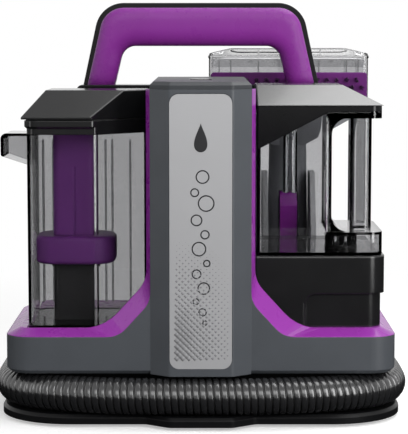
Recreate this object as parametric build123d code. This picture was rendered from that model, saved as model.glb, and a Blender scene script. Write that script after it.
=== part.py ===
from build123d import *
import math
import os

# Portable spot carpet cleaner. Millimetres, +Z up, the front is -Y, +X is the right-hand side from the front.
# Lengths along Y are given from the middle of the hose drum and shifted on export by DEPTH_SHIFT.

# Fits and walls
FIT = 0.3
RUN_FIT = 0.05
WALL = 2.5
TANK_WALL = 2.4
CHAMFER = 1.5

# Base plate and feet
FOOT_HEIGHT = 3.0
FOOT_RADIUS = 11.0
FOOT_CHAMFER = 0.8
FOOT_X = 130.0
FOOT_FRONT_Y = -66.0
FOOT_BACK_Y = 98.0
BASE_HALF_WIDTH = 172.5
BASE_THICKNESS = 8.0
BASE_WING_Y = -108.0
BASE_NOSE_Y = -122.0
BASE_BACK_Y = 136.0
BASE_FRONT_CORNER = 62.0
BASE_BACK_CORNER = 40.0
NOSE_FLAT = 26.5
NOSE_FOOT = 46.0
NOSE_ROUND = 5.0
BASE_NOSE_SOFT = 8.0
BASE_EDGE = 2.5
SCREW_SHANK = 2.0
SCREW_HEAD = 4.0
SCREW_HEAD_HEIGHT = 3.0
SCREW_LENGTH = 18.0
BOSS_RADIUS = 6.0
BOSS_LAP = 1.0
BASE_SCREW_FRONT_Y = -30.0
BASE_SCREW_BACK_Y = 22.0

# Hose wound once round the waist, and its route
HOSE_RADIUS = 15.5
HOSE_VALLEY = 13.4
HOSE_BORE = 11.0
RIB_PITCH = 6.2
RIB_FOOT = 0.06
RIB_RISE = 0.26
RIB_FALL = 0.72
RIB_END = 0.92
BEND_SHARE = 0.45
CUFF_RADIUS = 15.2
PORT_CUFF_LENGTH = 14.0
TOOL_CUFF_LENGTH = 12.0
TOOL_CUFF_RADIUS = 19.5
PORT_X0 = 22.0
PORT_X1 = 56.0
PORT_DUCT_X = 40.0
PORT_GAP = 1.0
PORT_ROUND = 7.0
PORT_END_WALL = 8.0
HOSE_BACK_Y = 77.0
TOOL_X = 82.5
TOOL_Y = 114.0
HOSE_TOP = 112.0

# Waist drum that the hose lies round
DRUM_HALF_WIDTH = 147.5
DRUM_FRONT_Y = -78.5
DRUM_BACK_Y = 60.5
DRUM_CORNER = 43.0
DRUM_WALL = 3.0

# Skirt, column and their purple trim
SKIRT_GAP = 2.0
SKIRT_HEIGHT = 31.5
SKIRT_HALF_WIDTH = 165.5
SKIRT_FRONT_Y = -100.0
SKIRT_BACK_Y = 80.0
SKIRT_CORNER = 22.0
SKIRT_CHAMFER = 3.0
LEDGE_RISE = 6.0
LEDGE_INSET = 12.0
COLUMN_HALF_WIDTH = 42.5
COLUMN_NOSE_Y = -112.0
COLUMN_HEIGHT = 290.4
CAP_HEIGHT = 6.4
CAP_CHAMFER = 3.0
SHELL_SPLIT_Y = -30.0
FLARE_REACH = 27.0
FLARE_RISE = 29.6
TRIM_REACH = 40.0
TRIM_BACK_GAP = 0.4
FLARE_FOOT_EASE = 10.0
FLARE_KNEE_EASE = 8.0
TRIM_FOOT_EASE = 18.0
TRIM_KNEE_EASE = 10.0
EASE_STEPS = 5
TRIM_PROUD = 3.5
TRAY_FLOOR = 4.5
LABEL_HALF_WIDTH = 26.0
LABEL_Z0 = 51.0
LABEL_TOP_GAP = 3.6
LABEL_CORNER = 8.0
LABEL_THICKNESS = 1.2
LABEL_PROUD = 0.4
GLAND_RISE = 30.0
GLAND_RADIUS = 5.9
GLAND_FIT = 0.1
GLAND_BORE = 4.0
GLAND_LENGTH = 8.0
GLAND_FLANGE = 9.0
GLAND_FLANGE_THICKNESS = 2.5

# Power button and its switch
BUTTON_RADIUS = 10.0
BUTTON_Y = -40.0
BUTTON_PROUD = 0.6
BUTTON_TRAVEL = 2.5
BUTTON_DEPTH = 7.0
BUTTON_ROUND = 0.8
SWITCH_HALF = 9.0
SWITCH_HEIGHT = 20.0
SWITCH_GAP = 0.5
SWITCH_EAR_HALF = 5.0
SWITCH_EAR_DROP = 2.0
SWITCH_EAR_HEIGHT = 4.0
HANGER_GAP = 2.0
HANGER_THICKNESS = 3.0

# Carry handle and the two shoulders under its feet
SHOULDER_REACH = 112.0
SHOULDER_Y0 = 24.0
SHOULDER_Y1 = 58.0
SHOULDER_HEIGHT = 22.0
SHOULDER_ROUND = 5.0
SHOULDER_DECK = 4.0
HANDLE_Y0 = 26.0
HANDLE_SPLIT_Y = 43.0
HANDLE_Y1 = 56.0
HANDLE_FOOT_OUT = 107.0
HANDLE_FOOT_IN = 78.0
HANDLE_SHOULDER_OUT = 91.0
HANDLE_SHOULDER_IN = 69.5
HANDLE_RISE = 67.2
HANDLE_GAP = 28.4
HANDLE_RIM = 4.5
HANDLE_CORNER_OUT = 26.0
HANDLE_CORNER_IN = 13.0
HANDLE_ROUND = 5.0
HANDLE_PALM_ROUND = 11.0
HANDLE_SCREW_FRONT = 8.0
HANDLE_SCREW_BACK = 6.5

# Both tanks
TANK_FRONT_Y = -86.0
TANK_BACK_Y = 12.0
TANK_COLUMN_GAP = 1.0
TANK_MIN_ROUND = 1.0
BACK_PROUD = 1.0
LUG_WIDTH = 9.0
LUG_INSET = 14.0
KNUCKLE_GAP = 1.0
KNUCKLE_DROP = 1.0
HINGE_Y = 17.5
HINGE_RADIUS = 3.4
HINGE_RISE = 2.0
PIN_RADIUS = 1.5
LID_ROUND = 1.2
LID_FOOT = 1.0
LID_BACK_RUN = 18.0

# Dirty water tank on the left, its hip lid, suction stack and float
DIRTY_OUTER_X = 147.0
DIRTY_CHAMFER_X = 89.0
DIRTY_ROUNDS = [10.0, 4.0, 4.0, 6.0, 10.0]
DIRTY_COLLAR_Z = 245.2
DIRTY_RIM_Z = 250.4
DIRTY_RIM_HEIGHT = 6.6
DIRTY_RIM_EDGE = 1.5
RIM_PROUD = 2.0
DIRTY_LID_HEIGHT = 25.0
GASKET_HEIGHT = 1.2
GASKET_INSET = 0.4
GASKET_WIDTH = 1.6
DIRTY_KNUCKLE_RISE = 2.0
LID_OVERHANG = 3.5
LID_COLUMN_OVERHANG = 0.5
DIRTY_LID_EDGE = 2.0
DIRTY_LID_LEFT_RUN = 18.5
DIRTY_LID_FRONT_RUN = 27.0
GRIP_OUTER_X = 171.0
GRIP_Y0 = -62.0
GRIP_Y1 = -18.0
GRIP_Z0 = 226.0
GRIP_Z1 = 245.2
GRIP_SLANT = 8.0
GRIP_FOOT_ROUND = 2.0
GRIP_TOP_ROUND = 5.0
STACK_X = -109.0
STACK_Y = -37.0
STACK_WIDTH = 37.0
STACK_DEPTH = 30.0
STACK_ROUND = 6.0
STACK_FOOT = 3.0
STACK_SEAT = 4.0
STACK_PORT_DROP = 30.0
STACK_PORT_HEIGHT = 16.0
STACK_PORT_HALF = 8.0
STACK_DRAIN_HEIGHT = 8.0
GROOVE_HALF = 1.0
GROOVE_DEPTH = 0.8
STOP_REACH = 2.0
STOP_HALF = 4.0
STACK_TUBE_X = 7.6
STACK_TUBE_RADIUS = 7.0
STACK_TUBE_BORE = 5.5
STACK_TUBE_TOP = 232.0
STACK_COVER_Z1 = 246.0
STACK_COVER_WALL = 1.6
FLOAT_WIDTH = 69.0
FLOAT_DEPTH = 58.0
FLOAT_Z0 = 132.7
FLOAT_HEIGHT = 24.0
FLOAT_CLEARANCE = 0.6
FLOAT_ROUND = 20.0
FLOAT_EDGE = 4.0

# Clean water tank on the right, its collar, lid and valve
CLEAN_FOOT_X = 154.0
CLEAN_FOOT_HEIGHT = 19.7
CLEAN_CHAMBER_X = 110.5
CLEAN_BAR_X0 = 127.7
CLEAN_BAR_X1 = 146.0
CLEAN_BAR_Y0 = -66.0
CLEAN_BAR_Y1 = -32.0
CLEAN_BRIDGE_Z = 259.0
CLEAN_RIM_Z = 264.6
CLEAN_SLOPE_Z = 232.6
CLEAN_SLOPE_X = 108.3
CLEAN_RIM_X = 152.8
COLLAR_TOP = 269.6
CLEAN_INNER_ROUND = 2.0
CLEAN_FOOT_ROUND = 12.0
CLEAN_CHAMBER_ROUND = 6.0
HAND_GAP_ROUND = 14.0
CLEAN_RIM_ROUND = 10.0
CLEAN_BAR_ROUND = 7.0
CUT_MARGIN = 10.0
MOUTH_LEDGE = 4.0
CLIP_HALF = 9.0
CLIP_ROOT = 1.0
CLIP_DEPTH = 2.0
CLEAN_LUG_DROP = 7.0
CLEAN_KNUCKLE_RISE = 1.5
CLEAN_LID_HEIGHT = 17.0
CLEAN_LID_RIGHT_RUN = 33.0
CLEAN_LID_FRONT_RUN = 26.0
CLEAN_LID_SIDE = 0.7
CLEAN_LID_FRONT = 2.0
VALVE_X = 121.0
VALVE_Y = -49.0
VALVE_RADIUS = 14.0
VALVE_SPIGOT = 6.5
VALVE_STEM = 2.0
VALVE_STEM_INSET = 1.0
VALVE_FLANGE = 3.0
VALVE_DROP = 5.0
VALVE_CROWN = 1.6
VALVE_CROWN_GAP = 2.2
VALVE_CROWN_BORE = 1.2
VALVE_POSTS = 8
VALVE_POST_CIRCLE = 11.5
VALVE_POST_RADIUS = 2.2
VALVE_HEAD = 5.5
VALVE_HEAD_HEIGHT = 1.6
VALVE_COIL = 3.6
VALVE_WIRE = 0.3
SPRING_TURNS = 4
SPRING_GAP = 0.1
SEAL_RADIUS = 1.15
SEAL_DROP = 2.2
PICKUP_X = 75.5
PICKUP_RADIUS = 6.0
PICKUP_WALL = 1.5
PICKUP_GAP = 2.5
PICKUP_Z0 = 196.0
PICKUP_Z1 = 262.0

# Pump housing under the clean tank, and exhaust housing on the back of the column
PUMP_OUTER_X = 156.5
PUMP_TOP = 143.0
PUMP_BACK_Y = 66.0
PUMP_STEP_X = 89.0
PUMP_STEP_Z = 110.5
PUMP_STEP = 3.0
PUMP_STEP_ROUND = 8.0
PUMP_PANEL_ROUND = 2.8
PUMP_CORNER = 16.0
PUMP_BACK_ROUND = 4.0
PUMP_EDGE = 1.0
HOUSING_GAP = 0.5
SOCKET_FIT = 3.2
SOCKET_WALL = 2.0
SOCKET_DEPTH = 12.0
PUMP_FOOT_HALF = 12.0
PUMP_FOOT_INSET = 8.0
PUMP_RADIUS = 15.0
PUMP_X = 92.0
PUMP_Z = 104.0
PUMP_Y0 = -8.0
PUMP_Y1 = 46.0
PISTON_RADIUS = 5.0
PISTON_ROOM = 20.0
PISTON_GAP = 4.0
PISTON_PROUD = 8.0
FEED_RADIUS = 4.0
FEED_BORE = 2.6
FEED_BEND = 9.0
FEED_SHIFT = 10.0
EXHAUST_HALF_WIDTH = 34.0
EXHAUST_Z0 = 126.0
EXHAUST_TOP = 180.0
EXHAUST_DEPTH = 7.0
EXHAUST_CORNER = 6.0
EXHAUST_EDGE = 1.5
GRILLE_INSET = 5.0
GRILLE_LAP = 3.0
GRILLE_THICKNESS = 2.0
GRILLE_RIM = 4.0
GRILLE_CORNER = 3.0
GRILLE_SLOTS = 7
GRILLE_SLOT_HALF = 1.4

# Suction fan and motor in the column
MOTOR_Y = -22.0
MOTOR_LIP = 4.0
FAN_ROOM = 3.0
FAN_TIP_GAP = 2.0
FAN_EYE = 12.0
FAN_WALL = 2.0
FAN_GAP = 5.0
FAN_OUTLET_HALF = 9.0
FAN_OUTLET_RIM = 4.0
SHROUD = 1.6
HUB_RADIUS = 8.0
BLADE_HALF = 0.8
FRAME_Z = 86.0
FRAME_THICKNESS = 3.0
FRAME_FRONT = 48.0
FRAME_BACK = 46.0
FRAME_LEG = 8.0
FRAME_GAP = 1.0
FAN_HEIGHT = 28.0
MOTOR_HEIGHT = 68.0
MOTOR_FLANGE = 3.0
SHAFT_RADIUS = 4.0
SHAFT_FIT = 0.02
SHAFT_FOOT = 1.0
SHAFT_PROUD = 4.0
BLADES = 9
DUCT_RADIUS = 7.0
DUCT_BORE = 5.5
DUCT_BACK_Y = 36.0
SUCTION_BEND = 14.0
AIR_BEND = 12.0
AIR_DROP = 16.0
BOARD_HALF = 28.0
BOARD_HEIGHT = 70.0
BOARD_THICKNESS = 1.6
BOARD_STANDOFF = 4.4
BOARD_POST = 3.0
BOARD_POST_X = 22.0
BOARD_POST_INSET = 6.0
FILTER_HALF = 18.0
FILTER_DEPTH = 18.0
FILTER_RISE = 15.0
FILTER_HEIGHT = 25.0

# Hand tool hung head-up behind the clean tank
TOOL_HEAD_HALF = 76.0
TOOL_HEAD_TOP = 316.3
TOOL_HEAD_Z0 = 258.0
TOOL_HEAD_Y0 = 98.0
TOOL_HEAD_Y1 = 130.0
TOOL_HEAD_WALL = 2.2
TOOL_HEAD_PLUG = 12.0
NOZZLE_CORNER = 9.0
NECK_HALF = 15.0
NECK_Z = 225.0
BRUSH_TOP = 293.8
BRUSH_THICKNESS = 5.0
BRUSH_HALF = 73.5
BRUSH_FOOT = 4.0
BRUSH_ROUND = 3.0
BRISTLE_LENGTH = 9.0
BRISTLE_SIDE = 0.7
TUFT_COLUMNS = 15
TUFT_ROWS = 3
TUFT_PITCH = 9.2
TUFT_ROW_PITCH = 8.5
TUFT_RADIUS = 1.7
TUFT_STRANDS = 7
TUFT_EDGE = 7.0
GRIP_HALF_WIDTH = 19.5
GRIP_HALF_DEPTH = 17.0
GRIP_MID_Z = 185.0
GRIP_TOP_Z = 240.0
GRIP_TAPER = 2.0
TRIGGER_HALF_WIDTH = 8.0
TRIGGER_Z0 = 130.0
TRIGGER_Z1 = 168.0
TRIGGER_PIVOT_Y = 105.0
TRIGGER_PIVOT_Z = 178.0
TRIGGER_FRONT_Y = 91.0
TRIGGER_DEPTH = 8.0
TRIGGER_EYE = 3.0
TRIGGER_ROUND = 1.5
TRIGGER_PIN_HALF = 13.0
TRIGGER_COIL = 2.6
TRIGGER_WIRE = 0.5
SLOT_GAP = 1.0
SLOT_WALL = 2.0
SLOT_END = 4.0
SLOT_BACK = 4.0
SLOT_CHEEK_REACH = 12.0
DOCK_CHEEK = 5.0
DOCK_Z0 = 95.0
DOCK_Z1 = 200.0
DOCK_Y1 = 126.0
DOCK_NOTCH = 1.5
DOCK_LEAN = 6.0
DOCK_ROUND = 8.0

# Heights and places that follow from the sizes above
BASE_TOP = FOOT_HEIGHT + BASE_THICKNESS
HOSE_Z = BASE_TOP + FIT + HOSE_RADIUS
SKIRT_Z0 = HOSE_Z + HOSE_RADIUS + SKIRT_GAP
SKIRT_Z1 = SKIRT_Z0 + SKIRT_HEIGHT
LEDGE_Z = SKIRT_Z1 + LEDGE_RISE
POCKET_Z = SKIRT_Z1 + TRAY_FLOOR
TRIM_Y = SKIRT_FRONT_Y + LEDGE_INSET
COLUMN_BACK_Y = SKIRT_BACK_Y - LEDGE_INSET
CAP_Z = COLUMN_HEIGHT - CAP_HEIGHT
LABEL_Z1 = CAP_Z - LABEL_TOP_GAP
SHOULDER_TOP = CAP_Z
SHOULDER_Z0 = SHOULDER_TOP - SHOULDER_HEIGHT
HANDLE_TOP = COLUMN_HEIGHT + HANDLE_RISE
HANDLE_INNER_TOP = COLUMN_HEIGHT + HANDLE_GAP
TANK_INNER_X = COLUMN_HALF_WIDTH + TRIM_PROUD + TANK_COLUMN_GAP
CLEAN_FLOOR_Z = PUMP_TOP + FIT
CLEAN_FOOT_TOP = CLEAN_FLOOR_Z + CLEAN_FOOT_HEIGHT
FAN_HOUSING_RADIUS = COLUMN_HALF_WIDTH - WALL - FAN_ROOM
FAN_RADIUS = FAN_HOUSING_RADIUS - FAN_WALL - FAN_TIP_GAP
MOTOR_RADIUS = FAN_HOUSING_RADIUS - MOTOR_LIP
DIRTY_FLOOR_Z = POCKET_Z + FIT
STACK_COVER_Z0 = FLOAT_Z0 - FIT
DIRTY_TOP_Z = DIRTY_RIM_Z + DIRTY_RIM_HEIGHT
DIRTY_HINGE_Z = DIRTY_TOP_Z + HINGE_RISE
CLEAN_HINGE_Z = COLLAR_TOP + HINGE_RISE
FAN_Z = FRAME_Z + FRAME_THICKNESS
MOTOR_Z = FAN_Z + FAN_HEIGHT
TOOL_GRIP_Z = HOSE_TOP + TOOL_CUFF_LENGTH
SLOT_BACK_Y = TOOL_Y - SLOT_BACK
HOUSING_X = COLUMN_HALF_WIDTH + TRIM_PROUD + HOUSING_GAP
BASE_SCREW_X = DRUM_HALF_WIDTH - DRUM_WALL - BOSS_RADIUS + BOSS_LAP
DEPTH_SHIFT = -(BASE_NOSE_Y + BASE_BACK_Y) / 2

# Centreline of the hose, from its port on the back of the drum, once round the waist, up to the hand tool
HOSE_ROUTE = [
    (PORT_X1 + PORT_CUFF_LENGTH, HOSE_BACK_Y, HOSE_Z),
    (129.0, 77.0, HOSE_Z),
    (164.0, 42.0, HOSE_Z),
    (165.0, -8.0, HOSE_Z),
    (164.0, -57.5, HOSE_Z),
    (138.0, -90.0, HOSE_Z),
    (61.0, -108.5, HOSE_Z),
    (-61.0, -108.5, HOSE_Z),
    (-138.0, -90.0, HOSE_Z),
    (-164.0, -57.5, HOSE_Z),
    (-165.0, 6.0, HOSE_Z),
    (-164.0, 70.0, HOSE_Z),
    (-120.0, 113.0, HOSE_Z),
    (-35.0, 116.0, HOSE_Z),
    (49.0, TOOL_Y, HOSE_Z),
    (TOOL_X, TOOL_Y, 60.0),
    (TOOL_X, TOOL_Y, HOSE_TOP),
]


def block(x0, x1, y0, y1, z0, z1):
    """A box between two corners."""
    middle = Pos((x0 + x1) / 2, (y0 + y1) / 2, (z0 + z1) / 2)
    return middle * Box(x1 - x0, y1 - y0, z1 - z0)


def rod(radius, start, end):
    """A cylinder from one point to another."""
    axis = Vector(*end) - Vector(*start)
    plane = Plane(origin=start, z_dir=axis)
    return plane * Cylinder(radius, axis.length, align=(Align.CENTER, Align.CENTER, Align.MIN))


def pipe(outer, inner, start, end):
    """A straight tube from one point to another."""
    return rod(outer, start, end) - rod(inner, start, end)


def outline(points, radii=0):
    """A flat face from its corners, each rounded by its own radius."""
    rounded = radii if isinstance(radii, (int, float)) else list(radii)
    if rounded == 0:
        return make_face(Polyline(*points, close=True))
    return make_face(FilletPolyline(*points, radius=rounded, close=True))


def plan(points, z0, z1, radii=0):
    """An upright prism on an outline in plan."""
    face = outline([(x, y, z0) for x, y in points], radii)
    return extrude(face, amount=z1 - z0, dir=(0, 0, 1))


def profile(points, y0, y1, radii=0):
    """A prism along Y on an outline seen from the front."""
    face = outline([(x, y0, z) for x, z in points], radii)
    return extrude(face, amount=y1 - y0, dir=(0, 1, 0))


def side(points, x0, x1, radii=0):
    """A prism along X on an outline seen from the side."""
    face = outline([(x0, y, z) for y, z in points], radii)
    return extrude(face, amount=x1 - x0, dir=(1, 0, 0))


def rect(x0, x1, y0, y1):
    """The corners of a rectangle, from its left front corner round by the right."""
    return [(x0, y0), (x1, y0), (x1, y1), (x0, y1)]


def hip(lower, upper, z0, z1):
    """A roof with flat slopes between two outlines with as many corners."""
    foot = outline([(x, y, z0) for x, y in lower])
    crown = outline([(x, y, z1) for x, y in upper])
    return loft([foot, crown], ruled=True)


def grown(points, amount):
    """An upright outline face grown or shrunk by an amount, corners kept sharp."""
    return offset(outline(points), amount=amount, kind=Kind.INTERSECTION)


def raised(face, z0, z1):
    """A prism on a plan face."""
    return extrude(Pos(0, 0, z0) * face, amount=z1 - z0, dir=(0, 0, 1))


def mirrored(shape):
    """The same piece for the other side."""
    return mirror(shape, about=Plane.YZ)


def pan_screw(tip, under_head):
    """A pan-head screw from its tip to the underside of its head."""
    tip_point = Vector(*tip)
    seat = Vector(*under_head)
    way = (seat - tip_point).normalized()
    shank = rod(SCREW_SHANK, tip, under_head)
    head = rod(SCREW_HEAD, under_head, tuple(seat + way * SCREW_HEAD_HEIGHT))
    return shank + head


def nose_points(half_width, wing_y, nose_y, back_y):
    """Outline in plan with a nose in the middle of the front."""
    return [
        (-half_width, back_y),
        (-half_width, wing_y),
        (-NOSE_FOOT, wing_y),
        (-NOSE_FLAT, nose_y),
        (NOSE_FLAT, nose_y),
        (NOSE_FOOT, wing_y),
        (half_width, wing_y),
        (half_width, back_y),
    ]


def base_screw_places():
    """Where the base screws stand, in plan."""
    return [(x, y) for x in (-BASE_SCREW_X, BASE_SCREW_X) for y in (BASE_SCREW_FRONT_Y, BASE_SCREW_BACK_Y)]


def make_base():
    """Base plate, feet and the screws that hold the drum down."""
    points = nose_points(BASE_HALF_WIDTH, BASE_WING_Y, BASE_NOSE_Y, BASE_BACK_Y)
    radii = [BASE_BACK_CORNER, BASE_FRONT_CORNER, *4 * [BASE_NOSE_SOFT], BASE_FRONT_CORNER, BASE_BACK_CORNER]
    plate = plan(points, FOOT_HEIGHT, BASE_TOP, radii)
    plate = chamfer(plate.edges().group_by(Axis.Z)[-1], BASE_EDGE)
    head_seat = FOOT_HEIGHT + SCREW_HEAD_HEIGHT + FIT
    screws = []
    for x, y in base_screw_places():
        plate -= rod(SCREW_HEAD + FIT, (x, y, FOOT_HEIGHT), (x, y, head_seat))
        plate -= rod(SCREW_SHANK + FIT, (x, y, FOOT_HEIGHT), (x, y, BASE_TOP))
        screws.append(pan_screw((x, y, head_seat + SCREW_LENGTH), (x, y, head_seat)))
    foot_places = [(x, y) for x in (-FOOT_X, FOOT_X) for y in (FOOT_FRONT_Y, FOOT_BACK_Y)]
    feet = []
    for x, y in foot_places:
        foot = rod(FOOT_RADIUS, (x, y, 0), (x, y, FOOT_HEIGHT))
        feet.append(chamfer(foot.edges().group_by(Axis.Z)[0], FOOT_CHAMFER))
    return {"base_plate": plate, "rubber_feet": feet, "base_screws": screws}


def drum_face(inset):
    """Outline of the drum, or of its inside."""
    wide = DRUM_HALF_WIDTH - inset
    points = rect(-wide, wide, DRUM_FRONT_Y + inset, DRUM_BACK_Y - inset)
    return outline(points, DRUM_CORNER - inset)


def make_drum():
    """Waist drum with its screw bosses, and the hose port on its back."""
    drum = raised(drum_face(0) - drum_face(DRUM_WALL), BASE_TOP, SKIRT_Z0)
    for x, y in base_screw_places():
        boss = rod(BOSS_RADIUS, (x, y, BASE_TOP), (x, y, BASE_TOP + SCREW_LENGTH))
        drum += boss - rod(SCREW_SHANK + RUN_FIT, (x, y, BASE_TOP), (x, y, BASE_TOP + SCREW_LENGTH))
    duct_hole = rod(DUCT_RADIUS + FIT, (PORT_DUCT_X, 0, HOSE_Z), (PORT_DUCT_X, HOSE_BACK_Y, HOSE_Z))
    port_back = HOSE_BACK_Y + HOSE_RADIUS + PORT_GAP
    port = block(PORT_X0, PORT_X1, DRUM_BACK_Y, port_back, BASE_TOP + FIT, SKIRT_Z0 - PORT_GAP)
    port = fillet(port.edges().filter_by(Axis.Z).group_by(Axis.Y)[-1], PORT_ROUND)
    port -= rod(HOSE_BORE, (PORT_X0 + PORT_END_WALL, HOSE_BACK_Y, HOSE_Z), (PORT_X1, HOSE_BACK_Y, HOSE_Z))
    return {"hose_drum": drum - duct_hole, "hose_port": port - duct_hole}


def route_radii(points):
    """Bend radius at each inner point of a route, as large as its two runs allow."""
    radii = []
    for before, here, after in zip(points, points[1:], points[2:]):
        way_in = Vector(*here) - Vector(*before)
        way_out = Vector(*after) - Vector(*here)
        half_turn = math.radians(way_in.get_angle(way_out)) / 2
        radii.append(BEND_SHARE * min(way_in.length, way_out.length) / math.tan(half_turn))
    return radii


def rib_sections(path):
    """Circles along the hose: valley, ridge, ridge and valley in each rib, on a steady X axis."""
    ribs = round(path.length / RIB_PITCH)
    pitch = path.length / ribs
    steps = [
        (RIB_FOOT, HOSE_VALLEY),
        (RIB_RISE, HOSE_RADIUS),
        (RIB_FALL, HOSE_RADIUS),
        (RIB_END, HOSE_VALLEY),
    ]
    stations = [(0.0, HOSE_VALLEY)]
    stations += [((rib + share) * pitch, radius) for rib in range(ribs) for share, radius in steps]
    stations.append((path.length, HOSE_VALLEY))
    steady = Vector(0, 0, 1)
    sections = []
    for distance, radius in stations:
        centre = path.position_at(distance, position_mode=PositionMode.LENGTH)
        way = path.tangent_at(distance, position_mode=PositionMode.LENGTH)
        steady = (steady - way * steady.dot(way)).normalized()
        sections.append(Plane(origin=centre, x_dir=steady, z_dir=way) * Circle(radius))
    return ribs, sections


def hose_area():
    """Mean area of the hose's wall in section, over one rib."""
    ridge = RIB_FALL - RIB_RISE
    slope = RIB_RISE - RIB_FOOT + RIB_END - RIB_FALL
    valley = 1.0 - ridge - slope
    cone = (HOSE_RADIUS**2 + HOSE_RADIUS * HOSE_VALLEY + HOSE_VALLEY**2) / 3
    mean_square = ridge * HOSE_RADIUS**2 + valley * HOSE_VALLEY**2 + slope * cone
    return math.pi * (mean_square - HOSE_BORE**2)


def make_hose():
    """Ribbed hose with its bore, and the cuffs at its two ends."""
    radii = route_radii(HOSE_ROUTE)
    path = Wire(FilletPolyline(*HOSE_ROUTE, radius=radii).edges())
    ribs, sections = rib_sections(path)
    body = loft(sections, ruled=True, clean=False)
    mouth = Plane(origin=path @ 0, z_dir=path % 0) * Circle(HOSE_BORE)
    bore = sweep(mouth, path=path)
    hose = body - bore
    print("hose length", round(path.length, 1), "ribs", ribs)
    print("hose bend radii", [round(radius, 1) for radius in radii])
    print("hose volume", round(hose.volume), "section times length", round(hose_area() * path.length))
    start = (PORT_X1, HOSE_BACK_Y, HOSE_Z)
    port_cuff = pipe(CUFF_RADIUS, HOSE_BORE, start, HOSE_ROUTE[0])
    end = (TOOL_X, TOOL_Y, TOOL_GRIP_Z)
    tool_cuff = pipe(TOOL_CUFF_RADIUS, HOSE_BORE, HOSE_ROUTE[-1], end)
    tool_cuff = chamfer(tool_cuff.edges().group_by(Axis.Z)[0].sort_by(SortBy.RADIUS)[-1], CHAMFER)
    return {"hose": hose, "hose_cuff_port": port_cuff, "hose_cuff_tool": tool_cuff}


def skirt_face(inset):
    """Outline of the skirt, shrunk by an inset."""
    wide = SKIRT_HALF_WIDTH - inset
    points = rect(-wide, wide, SKIRT_FRONT_Y + inset, SKIRT_BACK_Y - inset)
    return outline(points, SKIRT_CORNER - inset)


def column_points():
    """Outline of the column in plan, with its bevelled nose."""
    wide = COLUMN_HALF_WIDTH
    return [
        (-wide, COLUMN_BACK_Y),
        (-wide, SKIRT_FRONT_Y),
        (-NOSE_FLAT, COLUMN_NOSE_Y),
        (NOSE_FLAT, COLUMN_NOSE_Y),
        (wide, SKIRT_FRONT_Y),
        (wide, COLUMN_BACK_Y),
    ]


def column(inset, z0, z1):
    """A length of the column, shrunk by an inset."""
    if inset:
        return raised(grown(column_points(), -inset), z0, z1)
    return raised(outline(column_points(), [0, 0, NOSE_ROUND, NOSE_ROUND, 0, 0]), z0, z1)


def label_frame(grow, y0, y1):
    """The rounded rectangle of the front label."""
    wide = LABEL_HALF_WIDTH + grow
    points = rect(-wide, wide, LABEL_Z0 - grow, LABEL_Z1 + grow)
    return profile(points, y0, y1, LABEL_CORNER + grow)


def make_shells():
    """Front and rear shells of skirt and column, the column cap and the label plate."""
    skirt = raised(skirt_face(0), SKIRT_Z0, SKIRT_Z1)
    skirt = chamfer(skirt.edges().group_by(Axis.Z)[0], SKIRT_CHAMFER)
    gusset = flare_gusset()
    solid = skirt + column(0, SKIRT_Z0, CAP_Z) + gusset + mirrored(gusset)
    floor_z = SKIRT_Z0 + WALL
    hollow = raised(skirt_face(WALL + SKIRT_CHAMFER / 2), floor_z, SKIRT_Z1)
    hollow += column(WALL, floor_z, CAP_Z)
    hollow += raised(drum_face(DRUM_WALL), SKIRT_Z0, floor_z)
    label_back = COLUMN_NOSE_Y + LABEL_THICKNESS - LABEL_PROUD
    shell = solid - hollow - label_frame(FIT, COLUMN_NOSE_Y, label_back)
    wide = COLUMN_HALF_WIDTH
    inside_back = COLUMN_BACK_Y - WALL
    shell += block(-wide, wide, inside_back, SKIRT_BACK_Y - WALL, SKIRT_Z1 - WALL, SKIRT_Z1)
    shell -= profile(exhaust_rect(GRILLE_INSET + GRILLE_LAP), inside_back, COLUMN_BACK_Y)
    gland_z = SKIRT_Z1 + GLAND_RISE
    shell -= rod(GLAND_RADIUS + GLAND_FIT, (0, inside_back, gland_z), (0, COLUMN_BACK_Y, gland_z))
    gland_end = (0, COLUMN_BACK_Y + GLAND_LENGTH, gland_z)
    flange_end = (0, COLUMN_BACK_Y + GLAND_FLANGE_THICKNESS, gland_z)
    gland = pipe(GLAND_RADIUS, GLAND_BORE, (0, inside_back, gland_z), gland_end)
    gland += pipe(GLAND_FLANGE, GLAND_BORE, (0, COLUMN_BACK_Y, gland_z), flange_end)
    cap = column(0, CAP_Z, COLUMN_HEIGHT)
    cap = chamfer(cap.edges().group_by(Axis.Z)[-1], CAP_CHAMFER)
    cap -= column(WALL + CAP_CHAMFER / 2, CAP_Z, COLUMN_HEIGHT - WALL)
    cap -= rod(BUTTON_RADIUS + FIT, (0, BUTTON_Y, CAP_Z), (0, BUTTON_Y, COLUMN_HEIGHT))
    label = label_frame(0, label_back - LABEL_THICKNESS, label_back)
    reach = 2 * SKIRT_HALF_WIDTH
    front_half = block(-reach, reach, -reach, SHELL_SPLIT_Y, 0, COLUMN_HEIGHT)
    return {
        "front_shell": shell & front_half,
        "rear_shell": shell - front_half,
        "column_cap": cap,
        "label_plate": label,
        "cord_gland": gland,
    }


def eased(before, corner, after):
    """Points of a smooth bend round a corner, from a place before it to a place after it."""
    points = []
    for step in range(EASE_STEPS + 1):
        share = step / EASE_STEPS
        weights = ((1 - share) ** 2, 2 * share * (1 - share), share**2)
        axes = zip(before, corner, after)
        points.append(tuple(sum(w * p for w, p in zip(weights, place)) for place in axes))
    return points


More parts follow.
